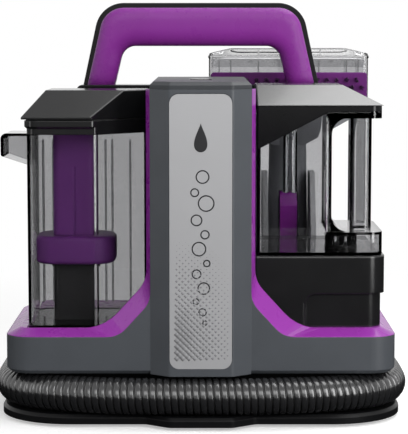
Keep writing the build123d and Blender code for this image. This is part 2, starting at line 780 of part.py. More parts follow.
def flare_line(reach, proud, foot_z, foot_ease, knee_ease):
    """A line on the left from the ledge up the flare and the column, with both its corners eased."""
    edge_x = -COLUMN_HALF_WIDTH - proud
    foot_x = -COLUMN_HALF_WIDTH - reach
    slope = FLARE_RISE / FLARE_REACH
    knee_z = foot_z + slope * (reach - proud)
    run_x = 1 / math.hypot(1, slope)
    run_z = slope * run_x
    before = (foot_x - foot_ease, foot_z)
    after = (foot_x + foot_ease * run_x, foot_z + foot_ease * run_z)
    below = (edge_x - knee_ease * run_x, knee_z - knee_ease * run_z)
    above = (edge_x, knee_z + knee_ease)
    return eased(before, (foot_x, foot_z), after) + eased(below, (edge_x, knee_z), above)


def flare_gusset():
    """The left flare of the shell, from the skirt up to the column."""
    line = flare_line(FLARE_REACH, 0, SKIRT_Z1, FLARE_FOOT_EASE, FLARE_KNEE_EASE)
    return profile([*line, (-COLUMN_HALF_WIDTH, SKIRT_Z1)], SKIRT_FRONT_Y, TRIM_Y)


def wedge(front, proud):
    """One cross-section of the trim strip: on the shell's edge, behind it, and out beside it."""
    back_y = TRIM_Y - TRIM_BACK_GAP
    corners = [
        (front[0], SKIRT_FRONT_Y, front[1]),
        (front[0], back_y, front[1]),
        (proud[0], back_y, proud[1]),
    ]
    return outline(corners)


def make_trim():
    """Purple ledge trays with the bevelled strips that follow the flare and the column."""
    ring = loft(
        [Pos(0, 0, SKIRT_Z1) * skirt_face(0), Pos(0, 0, LEDGE_Z) * skirt_face(LEDGE_INSET)],
        ruled=True,
    )
    ring -= column(0, SKIRT_Z1, LEDGE_Z)
    ring -= block(-NOSE_FOOT, NOSE_FOOT, COLUMN_NOSE_Y, TRIM_Y - LEDGE_INSET / 2, SKIRT_Z1, LEDGE_Z)
    front = flare_line(FLARE_REACH, 0, SKIRT_Z1, FLARE_FOOT_EASE, FLARE_KNEE_EASE)
    proud = flare_line(TRIM_REACH, TRIM_PROUD, LEDGE_Z, TRIM_FOOT_EASE, TRIM_KNEE_EASE)
    front.append((-COLUMN_HALF_WIDTH, CAP_Z))
    proud.append((-COLUMN_HALF_WIDTH - TRIM_PROUD, CAP_Z))
    strip = loft([wedge(*places) for places in zip(front, proud)], ruled=True)
    gusset = flare_gusset()
    left_half = block(-2 * SKIRT_HALF_WIDTH, 0, 2 * SKIRT_FRONT_Y, 2 * SKIRT_BACK_Y, 0, COLUMN_HEIGHT)
    left = ((ring & left_half) - gusset) + strip
    right = ((ring - left_half) - mirrored(gusset)) + mirrored(strip)
    left -= raised(grown(dirty_points(0, 0), 2 * FIT), POCKET_Z, LEDGE_Z)
    for x in stack_tube_places():
        left -= rod(STACK_TUBE_BORE, (x, STACK_Y, SKIRT_Z1), (x, STACK_Y, POCKET_Z))
    return {"trim_left": left, "trim_right": right}


def make_power():
    """Push button in the column cap and the switch that hangs from the cap below it."""
    bottom = COLUMN_HEIGHT - BUTTON_DEPTH
    button = rod(BUTTON_RADIUS, (0, BUTTON_Y, bottom), (0, BUTTON_Y, COLUMN_HEIGHT + BUTTON_PROUD))
    button = fillet(button.edges().group_by(Axis.Z)[-1], BUTTON_ROUND)
    half = SWITCH_HALF
    top = bottom - BUTTON_TRAVEL - SWITCH_GAP
    switch = block(-half, half, BUTTON_Y - half, BUTTON_Y + half, top - SWITCH_HEIGHT, top)
    ear_z0 = top - SWITCH_EAR_DROP - SWITCH_EAR_HEIGHT
    hanger_x0 = BUTTON_RADIUS + HANGER_GAP
    hanger_x1 = hanger_x0 + HANGER_THICKNESS
    y0 = BUTTON_Y - SWITCH_EAR_HALF
    y1 = BUTTON_Y + SWITCH_EAR_HALF
    ears = block(half, hanger_x1, y0, y1, ear_z0, ear_z0 + SWITCH_EAR_HEIGHT)
    ears += block(hanger_x0, hanger_x1, y0, y1, ear_z0, COLUMN_HEIGHT - WALL)
    return {"power_button": button, "power_switch": switch + ears + mirrored(ears)}


def handle_arch(outer_inset):
    """Outline of the carry handle, shrunk on its outside."""
    top = HANDLE_TOP - outer_inset
    foot = HANDLE_FOOT_OUT - outer_inset
    corner = HANDLE_SHOULDER_OUT - outer_inset
    outside = [(-foot, SHOULDER_TOP), (-corner, top), (corner, top), (foot, SHOULDER_TOP)]
    inside = [
        (-HANDLE_FOOT_IN, SHOULDER_TOP),
        (-HANDLE_SHOULDER_IN, HANDLE_INNER_TOP),
        (HANDLE_SHOULDER_IN, HANDLE_INNER_TOP),
        (HANDLE_FOOT_IN, SHOULDER_TOP),
    ]
    round_out = HANDLE_CORNER_OUT - outer_inset
    return outside, [0, round_out, round_out, 0], inside, [0, HANDLE_CORNER_IN, HANDLE_CORNER_IN, 0]


def arch_solid(outer_inset, y0, y1):
    """A layer of the carry handle."""
    outside, round_out, inside, round_in = handle_arch(outer_inset)
    return profile(outside, y0, y1, round_out) - profile(inside, y0, y1, round_in)


def on_opening(edge):
    """Tells whether an edge of the carry handle runs round the opening for the hand."""
    middle = edge.center()
    return middle.Z < HANDLE_INNER_TOP + FIT and abs(middle.X) < HANDLE_FOOT_IN


def face_edges(layer, face_index):
    """The edges of one face of a handle layer, except those at its feet."""
    edges = layer.edges().group_by(Axis.Y)[face_index]
    return edges.filter_by(lambda edge: edge.center().Z > SHOULDER_TOP + FIT)


def rounded_arch(layer, face_index, palm_round):
    """A handle layer with one of its faces rounded along its outside and along its opening."""
    outer = face_edges(layer, face_index).filter_by(lambda edge: not on_opening(edge))
    layer = fillet(outer, HANDLE_ROUND)
    return fillet(face_edges(layer, face_index).filter_by(on_opening), palm_round)


def make_handle():
    """Carry handle in two mouldings, its shoulders on the column, and the screws up into its feet."""
    front = rounded_arch(arch_solid(HANDLE_RIM, HANDLE_Y0, HANDLE_SPLIT_Y), 0, HANDLE_PALM_ROUND)
    back = rounded_arch(arch_solid(0, HANDLE_SPLIT_Y, HANDLE_Y1), -1, HANDLE_ROUND)
    reach = SHOULDER_REACH
    shoulder = block(-reach, -COLUMN_HALF_WIDTH, SHOULDER_Y0, SHOULDER_Y1, SHOULDER_Z0, SHOULDER_TOP)
    shoulder = fillet(shoulder.edges().filter_by(Axis.Y).group_by(Axis.X)[0], SHOULDER_ROUND)
    deck = SHOULDER_TOP - SHOULDER_DECK
    inner_x = (-reach + WALL, -COLUMN_HALF_WIDTH - WALL)
    shoulder -= block(*inner_x, SHOULDER_Y0 + WALL, SHOULDER_Y1 - WALL, SHOULDER_Z0, deck)
    right_shoulder = mirrored(shoulder)
    screw_x = (HANDLE_FOOT_OUT + HANDLE_FOOT_IN) / 2
    screw_ys = (HANDLE_Y0 + HANDLE_SCREW_FRONT, HANDLE_Y1 - HANDLE_SCREW_BACK)
    screws = []
    for x, y in [(x, y) for x in (-screw_x, screw_x) for y in screw_ys]:
        hole = rod(SCREW_SHANK + RUN_FIT, (x, y, deck), (x, y, deck + SCREW_LENGTH + FIT))
        front -= hole
        back -= hole
        shoulder -= hole
        right_shoulder -= hole
        screws.append(pan_screw((x, y, deck + SCREW_LENGTH), (x, y, deck)))
    return {
        "carry_handle": front,
        "handle_back": back,
        "shoulder_left": shoulder,
        "shoulder_right": right_shoulder,
        "handle_screws": screws,
    }


def dirty_points(outside, inside):
    """Outline of the dirty tank grown on its outer sides and on the sides that face the column."""
    left = -DIRTY_OUTER_X - outside
    front = TANK_FRONT_Y - outside
    back = TANK_BACK_Y + min(outside, BACK_PROUD)
    right = -TANK_INNER_X + inside
    diagonal = TANK_FRONT_Y + DIRTY_CHAMFER_X - inside * math.sqrt(2)
    return [
        (left, front),
        (front - diagonal, front),
        (right, right + diagonal),
        (right, back),
        (left, back),
    ]


def stack_tube_places():
    """The two stack tubes, along X."""
    return [STACK_X - STACK_TUBE_X, STACK_X + STACK_TUBE_X]


def hinge_lugs(x0, x1, width, wall_y, axis_z, drop):
    """Two fixed hinge ears on a back wall, with their bores."""
    lugs = Part()
    for x in (x0, x1 - width):
        ear = block(x, x + width, wall_y, HINGE_Y, axis_z - drop, axis_z - HINGE_RISE)
        ear += rod(HINGE_RADIUS, (x, HINGE_Y, axis_z), (x + width, HINGE_Y, axis_z))
        lugs += ear
    return lugs - rod(PIN_RADIUS + RUN_FIT, (x0, HINGE_Y, axis_z), (x1, HINGE_Y, axis_z))


def hinge_knuckle(x0, x1, wall_y, axis_z, rise):
    """The knuckle of a lid between two hinge ears."""
    knuckle = block(x0, x1, wall_y, HINGE_Y, axis_z - KNUCKLE_DROP, axis_z + rise)
    knuckle += rod(HINGE_RADIUS, (x0, HINGE_Y, axis_z), (x1, HINGE_Y, axis_z))
    return knuckle - rod(PIN_RADIUS + RUN_FIT, (x0, HINGE_Y, axis_z), (x1, HINGE_Y, axis_z))


def make_grip():
    """Hollow finger grip on the outer side of the dirty tank, open below."""
    outside = [
        (-GRIP_OUTER_X, GRIP_Z0),
        (-GRIP_OUTER_X, GRIP_Z1),
        (-DIRTY_OUTER_X, GRIP_Z1),
        (-DIRTY_OUTER_X, GRIP_Z0 - GRIP_SLANT),
    ]
    grip = profile(outside, GRIP_Y0, GRIP_Y1, [GRIP_FOOT_ROUND, GRIP_TOP_ROUND, 0, 0])
    inner_x = (-GRIP_OUTER_X + TANK_WALL, -DIRTY_OUTER_X)
    inner_y = (GRIP_Y0 + TANK_WALL, GRIP_Y1 - TANK_WALL)
    return grip - block(*inner_x, *inner_y, GRIP_Z0 - 2 * GRIP_SLANT, GRIP_Z1 - TANK_WALL)


def make_dirty_tank():
    """Dirty water tank with its grip, black collar, rim gasket, hip lid and hinge pin."""
    tank = plan(dirty_points(0, 0), DIRTY_FLOOR_Z, DIRTY_COLLAR_Z, DIRTY_ROUNDS)
    rim_rounds = [radius + RIM_PROUD for radius in DIRTY_ROUNDS]
    rim = plan(dirty_points(RIM_PROUD, 0), DIRTY_RIM_Z, DIRTY_TOP_Z, rim_rounds)
    rim = chamfer(rim.edges().group_by(Axis.Z)[0], DIRTY_RIM_EDGE)
    collar = plan(dirty_points(0, 0), DIRTY_COLLAR_Z, DIRTY_TOP_Z, DIRTY_ROUNDS) + rim
    inner_rounds = [max(radius - TANK_WALL, TANK_MIN_ROUND) for radius in DIRTY_ROUNDS]
    inside_back = TANK_BACK_Y - TANK_WALL
    inside = [(x, min(y, inside_back)) for x, y in dirty_points(-TANK_WALL, -TANK_WALL)]
    floor_top = DIRTY_FLOOR_Z + TANK_WALL
    room = plan(inside, floor_top, DIRTY_TOP_Z, inner_rounds)
    tank += make_grip()
    tank -= room
    for x in stack_tube_places():
        tank -= rod(STACK_TUBE_RADIUS + RUN_FIT, (x, STACK_Y, DIRTY_FLOOR_Z), (x, STACK_Y, floor_top))
    lug_x0 = -DIRTY_OUTER_X + LUG_INSET
    lug_x1 = -TANK_INNER_X - LUG_INSET
    collar = collar - room
    collar += hinge_lugs(lug_x0, lug_x1, LUG_WIDTH, TANK_BACK_Y, DIRTY_HINGE_Z, DIRTY_RIM_HEIGHT)
    gasket_top = DIRTY_TOP_Z + GASKET_HEIGHT
    gasket_inner = GASKET_INSET + GASKET_WIDTH
    gasket = plan(dirty_points(-GASKET_INSET, -GASKET_INSET), DIRTY_TOP_Z, gasket_top)
    gasket -= plan(dirty_points(-gasket_inner, -gasket_inner), DIRTY_TOP_Z, gasket_top)
    knuckle_x0 = lug_x0 + LUG_WIDTH + KNUCKLE_GAP
    knuckle_x1 = lug_x1 - LUG_WIDTH - KNUCKLE_GAP
    lid = make_dirty_lid()
    lid += hinge_knuckle(knuckle_x0, knuckle_x1, TANK_BACK_Y, DIRTY_HINGE_Z, DIRTY_KNUCKLE_RISE)
    pin = rod(PIN_RADIUS, (lug_x0, HINGE_Y, DIRTY_HINGE_Z), (lug_x1, HINGE_Y, DIRTY_HINGE_Z))
    return {
        "dirty_tank": tank,
        "dirty_tank_collar": collar,
        "dirty_tank_gasket": gasket,
        "dirty_tank_lid": lid,
        "dirty_lid_pin": pin,
    }


def rounded_roof(lid, foot_z):
    """A roof with its ridges and hips rounded, and its foot left sharp."""
    return fillet(lid.edges().filter_by(lambda edge: edge.center().Z > foot_z + LID_FOOT), LID_ROUND)


def make_dirty_lid():
    """Hollow hip lid of the dirty tank: its slopes stop at the upright chamfer plane."""
    seat_z = DIRTY_TOP_Z + GASKET_HEIGHT + FIT / 3
    edge_z = seat_z + DIRTY_LID_EDGE
    top_z = DIRTY_TOP_Z + DIRTY_LID_HEIGHT

    def roof(wall, crown_z):
        lower = dirty_points(LID_OVERHANG - wall, LID_COLUMN_OVERHANG - wall)
        left = lower[0][0] + DIRTY_LID_LEFT_RUN
        front = lower[0][1] + DIRTY_LID_FRONT_RUN
        back = lower[4][1] - LID_BACK_RUN
        diagonal = lower[0][1] - lower[1][0]
        right = lower[2][0]
        upper = [(left, front), (front - diagonal, front), lower[2], (right, back), (left, back)]
        return plan(lower, seat_z, edge_z) + hip(lower, upper, edge_z, crown_z)

    return rounded_roof(roof(0, top_z), edge_z) - roof(WALL, top_z - WALL)


def make_suction_stack():
    """Twin suction tubes in their duct with the float stops, their purple cover and the float on it."""
    floor = DIRTY_FLOOR_Z + TANK_WALL
    seat_z = STACK_COVER_Z0 - STACK_SEAT
    wall = STACK_COVER_WALL
    stack = plan(stack_rect(0), floor, STACK_COVER_Z0, STACK_ROUND)
    stack -= plan(stack_rect(-wall), floor + STACK_FOOT, seat_z, STACK_ROUND - wall)
    drain_x = (STACK_X - STACK_WIDTH, STACK_X + STACK_WIDTH)
    drain_y = (STACK_Y - STACK_PORT_HALF, STACK_Y + STACK_PORT_HALF)
    drain_z = floor + STACK_FOOT
    stack -= block(*drain_x, *drain_y, drain_z, drain_z + STACK_DRAIN_HEIGHT)
    stop_x = (STACK_X - STACK_WIDTH / 2 - STOP_REACH, STACK_X + STACK_WIDTH / 2 + STOP_REACH)
    stack += block(*stop_x, STACK_Y - STOP_HALF, STACK_Y + STOP_HALF, seat_z, STACK_COVER_Z0)
    for x in stack_tube_places():
        stack += rod(STACK_TUBE_RADIUS, (x, STACK_Y, DIRTY_FLOOR_Z), (x, STACK_Y, STACK_TUBE_TOP))
    for x in stack_tube_places():
        stack -= rod(STACK_TUBE_BORE, (x, STACK_Y, DIRTY_FLOOR_Z), (x, STACK_Y, STACK_TUBE_TOP))
    return {"suction_stack": stack, "stack_cover": make_stack_cover(), "tank_float": make_float()}


def stack_rect(grow):
    """Corners of the stack cover in plan, grown by an amount."""
    half = STACK_WIDTH / 2 + grow
    deep = STACK_DEPTH / 2 + grow
    return rect(STACK_X - half, STACK_X + half, STACK_Y - deep, STACK_Y + deep)


def make_stack_cover():
    """Purple cover over the suction tubes, with its side ports and centre groove."""
    wall = STACK_COVER_WALL
    half = STACK_WIDTH / 2
    front = STACK_Y - STACK_DEPTH / 2
    cover = plan(stack_rect(0), STACK_COVER_Z0, STACK_COVER_Z1, STACK_ROUND)
    cover -= plan(stack_rect(-wall), STACK_COVER_Z0, STACK_COVER_Z1 - wall, STACK_ROUND - wall)
    port_z = STACK_COVER_Z1 - STACK_PORT_DROP
    port_x = (STACK_X - half - STOP_REACH, STACK_X + half + STOP_REACH)
    port_y = (STACK_Y - STACK_PORT_HALF, STACK_Y + STACK_PORT_HALF)
    cover -= block(*port_x, *port_y, port_z, port_z + STACK_PORT_HEIGHT)
    groove_x = (STACK_X - GROOVE_HALF, STACK_X + GROOVE_HALF)
    return cover - block(*groove_x, front - GROOVE_DEPTH, front + GROOVE_DEPTH, STACK_COVER_Z0, port_z)


def make_float():
    """Float ring that slides up the stack cover."""
    wide = FLOAT_WIDTH / 2
    long = FLOAT_DEPTH / 2
    top = FLOAT_Z0 + FLOAT_HEIGHT
    outside = rect(STACK_X - wide, STACK_X + wide, STACK_Y - long, STACK_Y + long)
    ring = plan(outside, FLOAT_Z0, top, FLOAT_ROUND)
    ring = fillet(ring.edges().group_by(Axis.Z)[0] + ring.edges().group_by(Axis.Z)[-1], FLOAT_EDGE)
    return ring - plan(stack_rect(FLOAT_CLEARANCE), FLOAT_Z0, top, STACK_ROUND + FLOAT_CLEARANCE)


def clean_slope():
    """Rise of the clean tank's slanted mouth for each millimetre to the right."""
    return (CLEAN_RIM_Z - CLEAN_SLOPE_Z) / (CLEAN_SLOPE_X - TANK_INNER_X)


def clean_slope_cut():
    """All that lies above the slanted mouth of the clean tank."""
    start = TANK_INNER_X - CUT_MARGIN
    end = CLEAN_FOOT_X + CUT_MARGIN
    above = COLLAR_TOP + CUT_MARGIN
    points = [
        (start, CLEAN_SLOPE_Z - CUT_MARGIN * clean_slope()),
        (CLEAN_SLOPE_X, CLEAN_RIM_Z),
        (end, CLEAN_RIM_Z),
        (end, above),
        (start, above),
    ]
    return profile(points, TANK_FRONT_Y - CUT_MARGIN, TANK_BACK_Y + CUT_MARGIN)


def walled_box(x1, y0, y1, z0, z1, inner, outer, wall):
    """A box from the tank's inner side with its upright edges rounded, shrunk by a wall in plan."""
    points = rect(TANK_INNER_X + wall, x1 - wall, y0 + wall, y1 - wall)
    left = max(inner - wall, TANK_MIN_ROUND)
    right = outer - wall
    return plan(points, z0, z1, [left, right, right, left])


def corner_fill(x, y0, y1, z, radius, up):
    """The concave fill of an inner corner along Y, right of a wall and above or below a level."""
    level = z + radius * up
    square = block(x - radius / 2, x + radius, y0, y1, min(z, level), max(z, level))
    return square - rod(radius, (x + radius, y0, level), (x + radius, y1, level))


def hand_bar(wall, z0, z1):
    """The upright hand bar of the clean tank, shrunk by a wall in plan."""
    points = rect(CLEAN_BAR_X0 + wall, CLEAN_BAR_X1 - wall, CLEAN_BAR_Y0 + wall, CLEAN_BAR_Y1 - wall)
    return plan(points, z0, z1, CLEAN_BAR_ROUND - wall)


def make_clean_body():
    """Clean water tank: chamber, foot, hand bar and bridge in one clear moulding."""
    depth = (TANK_FRONT_Y, TANK_BACK_Y)
    inner = CLEAN_INNER_ROUND
    t = TANK_WALL
    floor_top = CLEAN_FLOOR_Z + t
    foot = walled_box(CLEAN_FOOT_X, *depth, CLEAN_FLOOR_Z, CLEAN_FOOT_TOP, inner, CLEAN_FOOT_ROUND, 0)
    chamber = walled_box(CLEAN_CHAMBER_X, *depth, CLEAN_FLOOR_Z, COLLAR_TOP, inner, CLEAN_CHAMBER_ROUND, 0)
    bridge = walled_box(CLEAN_RIM_X, *depth, CLEAN_BRIDGE_Z, CLEAN_RIM_Z, inner, CLEAN_RIM_ROUND, 0)
    tank = foot + chamber + bridge + hand_bar(0, CLEAN_FLOOR_Z, CLEAN_RIM_Z)
    fill_y = (TANK_FRONT_Y + CLEAN_CHAMBER_ROUND, TANK_BACK_Y - CLEAN_CHAMBER_ROUND)
    tank += corner_fill(CLEAN_CHAMBER_X, *fill_y, CLEAN_FOOT_TOP, HAND_GAP_ROUND, 1)
    tank += corner_fill(CLEAN_CHAMBER_X, *fill_y, CLEAN_BRIDGE_Z, HAND_GAP_ROUND, -1)
    tank -= walled_box(CLEAN_FOOT_X, *depth, floor_top, CLEAN_FOOT_TOP - t, inner, CLEAN_FOOT_ROUND, t)
    tank -= walled_box(CLEAN_CHAMBER_X, *depth, floor_top, COLLAR_TOP, inner, CLEAN_CHAMBER_ROUND, t)
    tank -= hand_bar(t, floor_top, CLEAN_BRIDGE_Z)
    tank -= clean_slope_cut()
    spigot_ends = [(VALVE_X, VALVE_Y, CLEAN_FLOOR_Z), (VALVE_X, VALVE_Y, floor_top)]
    return tank - rod(VALVE_SPIGOT + RUN_FIT, *spigot_ends)


def make_clean_tank():
    """Clean water tank with its collar, pick-up tube, hip lid and hinge pin."""
    t = TANK_WALL
    depth = (TANK_FRONT_Y, TANK_BACK_Y)
    inner = CLEAN_INNER_ROUND
    pickup_y = TANK_FRONT_Y + t + PICKUP_GAP + PICKUP_RADIUS
    pickup_ends = [(PICKUP_X, pickup_y, PICKUP_Z0), (PICKUP_X, pickup_y, PICKUP_Z1)]
    collar = walled_box(CLEAN_RIM_X, *depth, CLEAN_SLOPE_Z, COLLAR_TOP, inner, CLEAN_RIM_ROUND, 0)
    collar = collar & clean_slope_cut()
    mouth_x = CLEAN_CHAMBER_X - MOUTH_LEDGE
    collar -= walled_box(mouth_x, *depth, CLEAN_SLOPE_Z, COLLAR_TOP, inner, CLEAN_CHAMBER_ROUND, t)
    clip_x = (PICKUP_X - CLIP_HALF, PICKUP_X + CLIP_HALF)
    clip_z = CLEAN_SLOPE_Z + (clip_x[1] - TANK_INNER_X) * clean_slope()
    clip_y = (TANK_FRONT_Y + CLIP_ROOT, pickup_y + CLIP_DEPTH)
    collar += block(*clip_x, *clip_y, clip_z, COLLAR_TOP - CLIP_DEPTH)
    collar -= rod(PICKUP_RADIUS + RUN_FIT, *pickup_ends)
    lug_x0 = TANK_INNER_X + LUG_INSET
    lug_x1 = CLEAN_RIM_X - LUG_INSET
    lug_y = TANK_BACK_Y - CLIP_ROOT
    collar += hinge_lugs(lug_x0, lug_x1, LUG_WIDTH, lug_y, CLEAN_HINGE_Z, CLEAN_LUG_DROP)
    knuckle_x0 = lug_x0 + LUG_WIDTH + KNUCKLE_GAP
    knuckle_x1 = lug_x1 - LUG_WIDTH - KNUCKLE_GAP
    lid = make_clean_lid()
    lid += hinge_knuckle(knuckle_x0, knuckle_x1, TANK_BACK_Y, CLEAN_HINGE_Z, CLEAN_KNUCKLE_RISE)
    return {
        "clean_tank": make_clean_body(),
        "clean_tank_collar": collar,
        "pickup_tube": pipe(PICKUP_RADIUS, PICKUP_RADIUS - PICKUP_WALL, *pickup_ends),
        "clean_tank_lid": lid,
        "clean_lid_pin": rod(PIN_RADIUS, (lug_x0, HINGE_Y, CLEAN_HINGE_Z), (lug_x1, HINGE_Y, CLEAN_HINGE_Z)),
    }


def make_clean_lid():
    """Hollow hip lid of the clean tank."""
    seat_z = COLLAR_TOP + FIT
    top_z = COLLAR_TOP + CLEAN_LID_HEIGHT

    def roof(wall, crown_z):
        left = TANK_INNER_X + wall
        right = CLEAN_RIM_X + CLEAN_LID_SIDE - wall
        front = TANK_FRONT_Y - CLEAN_LID_FRONT + wall
        back = TANK_BACK_Y + BACK_PROUD - wall
        lower = rect(left, right, front, back)
        upper = rect(left, right - CLEAN_LID_RIGHT_RUN, front + CLEAN_LID_FRONT_RUN, back - LID_BACK_RUN)
        return hip(lower, upper, seat_z, crown_z)

    return rounded_roof(roof(0, top_z), seat_z) - roof(WALL, top_z - WALL)


def coil(radius, wire, start, end, turns):
    """A compression spring between two points, one unbroken wire."""
    axis = Vector(*end) - Vector(*start)
    way = axis.normalized()
    rise = axis.length - 2 * wire
    path = Helix(pitch=rise / turns, height=rise, radius=radius)
    section = Plane(origin=path @ 0, z_dir=path % 0) * Circle(wire)
    spring = sweep(section, path=path, is_frenet=True)
    print("spring gap between turns", round(rise / turns - 2 * wire, 2))
    return Plane(origin=Vector(*start) + way * wire, z_dir=way) * spring


def make_valve():
    """Spring-loaded outlet valve in the floor of the clean tank."""
    floor = CLEAN_FLOOR_Z + TANK_WALL
    flange_top = floor + VALVE_FLANGE
    crown_z1 = CLEAN_FOOT_TOP - TANK_WALL - VALVE_CROWN_GAP
    crown_z0 = crown_z1 - VALVE_CROWN
    spigot_z = CLEAN_FLOOR_Z - VALVE_DROP
    centre = (VALVE_X, VALVE_Y)
    body = rod(VALVE_RADIUS, (*centre, floor), (*centre, flange_top))
    body += rod(VALVE_SPIGOT, (*centre, spigot_z), (*centre, floor))
    for index in range(VALVE_POSTS):
        angle = 2 * math.pi * index / VALVE_POSTS
        x = VALVE_X + VALVE_POST_CIRCLE * math.cos(angle)
        y = VALVE_Y + VALVE_POST_CIRCLE * math.sin(angle)
        body += rod(VALVE_POST_RADIUS, (x, y, flange_top), (x, y, crown_z1))
    body += pipe(VALVE_RADIUS, VALVE_CROWN_BORE, (*centre, crown_z0), (*centre, crown_z1))
    body -= rod(VALVE_STEM + RUN_FIT, (*centre, spigot_z), (*centre, flange_top))
    head_z0 = flange_top + FIT
    head_z1 = head_z0 + VALVE_HEAD_HEIGHT
    plunger = rod(VALVE_STEM, (*centre, spigot_z + VALVE_STEM_INSET), (*centre, head_z0))
    plunger += rod(VALVE_HEAD, (*centre, head_z0), (*centre, head_z1))
    spring_ends = [(*centre, head_z1 + SPRING_GAP), (*centre, crown_z0 - SPRING_GAP)]
    spring = coil(VALVE_COIL, VALVE_WIRE, *spring_ends, SPRING_TURNS)
    seal = Torus(VALVE_SPIGOT + SEAL_RADIUS + RUN_FIT, SEAL_RADIUS)
    return {
        "valve_body": body,
        "valve_plunger": plunger,
        "valve_spring": spring,
        "valve_seal": Pos(VALVE_X, VALVE_Y, CLEAN_FLOOR_Z - SEAL_DROP) * seal,
    }


def pump_case(step, wall, z0, z1):
    """A layer of the pump housing, set back from its front and right sides by a step and a wall."""
    inset = step + wall
    corner = max(PUMP_CORNER - inset, TANK_MIN_ROUND)
    back_round = PUMP_BACK_ROUND - wall / 2
    points = rect(HOUSING_X + wall, PUMP_OUTER_X - inset, TANK_FRONT_Y + inset, PUMP_BACK_Y - wall)
    return plan(points, z0, z1, [0, corner, back_round, 0])


def make_pump():
    """Pump housing with the valve socket, and the water pump with its piston and feed tube."""
    upper = pump_case(0, 0, PUMP_STEP_Z, PUMP_TOP)
    upper = chamfer(upper.edges().group_by(Axis.Z)[-1], PUMP_EDGE)
    panel_y = (TANK_FRONT_Y, TANK_FRONT_Y + PUMP_STEP)
    panel = plan(rect(HOUSING_X, PUMP_STEP_X, *panel_y), LEDGE_Z, PUMP_STEP_Z, [0, PUMP_PANEL_ROUND, 0, 0])
    panel += corner_fill(PUMP_STEP_X, *panel_y, PUMP_STEP_Z, PUMP_STEP_ROUND, -1)
    housing = pump_case(PUMP_STEP, 0, LEDGE_Z, PUMP_STEP_Z) + upper + panel
    housing -= pump_case(PUMP_STEP, WALL, LEDGE_Z, PUMP_TOP - WALL)
    socket_bore = VALVE_SPIGOT + SOCKET_FIT
    socket_z = PUMP_TOP - SOCKET_DEPTH
    socket_floor = socket_z + SOCKET_WALL
    centre = (VALVE_X, VALVE_Y)
    housing += rod(socket_bore + SOCKET_WALL, (*centre, socket_z), (*centre, PUMP_TOP - PUMP_EDGE))
    housing -= rod(socket_bore, (*centre, socket_floor), (*centre, PUMP_TOP))
    housing -= rod(FEED_BORE, (*centre, socket_z), (*centre, socket_floor))
    pump = rod(PUMP_RADIUS, (PUMP_X, PUMP_Y0, PUMP_Z), (PUMP_X, PUMP_Y1, PUMP_Z))
    foot_x = (PUMP_X - PUMP_FOOT_HALF, PUMP_X + PUMP_FOOT_HALF)
    foot_y = (PUMP_Y0 + PUMP_FOOT_INSET, PUMP_Y1 - PUMP_FOOT_INSET)
    pump += block(*foot_x, *foot_y, LEDGE_Z, PUMP_Z - PUMP_RADIUS / 2)
    bore_end = PUMP_Y1 - PISTON_ROOM
    pump -= rod(PISTON_RADIUS + RUN_FIT, (PUMP_X, bore_end, PUMP_Z), (PUMP_X, PUMP_Y1, PUMP_Z))
    piston_ends = [(PUMP_X, bore_end + PISTON_GAP, PUMP_Z), (PUMP_X, PUMP_Y1 + PISTON_PROUD, PUMP_Z)]
    feed_points = [
        (*centre, socket_z),
        (*centre, PUMP_Z),
        (PUMP_X, VALVE_Y + FEED_SHIFT, PUMP_Z),
        (PUMP_X, PUMP_Y0, PUMP_Z),
    ]
    return {
        "pump_housing": housing,
        "water_pump": pump,
        "pump_piston": rod(PISTON_RADIUS, *piston_ends),
        "pump_tube": bent_pipe(feed_points, FEED_BEND, FEED_RADIUS, FEED_BORE),
    }


def bent_pipe(points, bend, outer, inner):
    """A tube along straight runs joined by tangent arcs."""
    path = Wire(FilletPolyline(*points, radius=bend).edges())
    start = Plane(origin=path @ 0, z_dir=path % 0)
    return sweep(start * Circle(outer), path=path) - sweep(start * Circle(inner), path=path)


def make_ducts():
    """Suction duct from the hose port to the stack, and air duct from the stack to the fan."""
    left, right = stack_tube_places()
    suction = [
        (PORT_DUCT_X, HOSE_BACK_Y - HOSE_RADIUS, HOSE_Z),
        (PORT_DUCT_X, DUCT_BACK_Y, HOSE_Z),
        (left, DUCT_BACK_Y, HOSE_Z),
        (left, STACK_Y, HOSE_Z),
        (left, STACK_Y, SKIRT_Z1),
    ]
    air_z = SKIRT_Z1 - AIR_DROP
    air = [
        (right, STACK_Y, SKIRT_Z1),
        (right, STACK_Y, air_z),
        (0, MOTOR_Y, air_z),
        (0, MOTOR_Y, FRAME_Z),
    ]
    return {
        "suction_duct": bent_pipe(suction, SUCTION_BEND, DUCT_RADIUS, DUCT_BORE),
        "air_duct": bent_pipe(air, AIR_BEND, DUCT_RADIUS, DUCT_BORE),
    }


def make_impeller(z0, z1):
    """Fan wheel between two shrouds, with an eye below and straight blades round its hub."""
    centre = (0, MOTOR_Y)
    fan = rod(FAN_RADIUS, (*centre, z0), (*centre, z0 + SHROUD))
    fan -= rod(FAN_EYE, (*centre, z0), (*centre, z0 + SHROUD))
    fan += rod(FAN_RADIUS, (*centre, z1 - SHROUD), (*centre, z1))
    fan += rod(HUB_RADIUS, (*centre, z0), (*centre, z1))
    for index in range(BLADES):
        blade = block(HUB_RADIUS - BLADE_HALF, FAN_RADIUS - BLADE_HALF, -BLADE_HALF, BLADE_HALF, z0, z1)
        fan += Pos(0, MOTOR_Y, 0) * (Rot(0, 0, 360 / BLADES * index) * blade)
    return fan - rod(SHAFT_RADIUS + SHAFT_FIT, (*centre, z0), (*centre, z1))


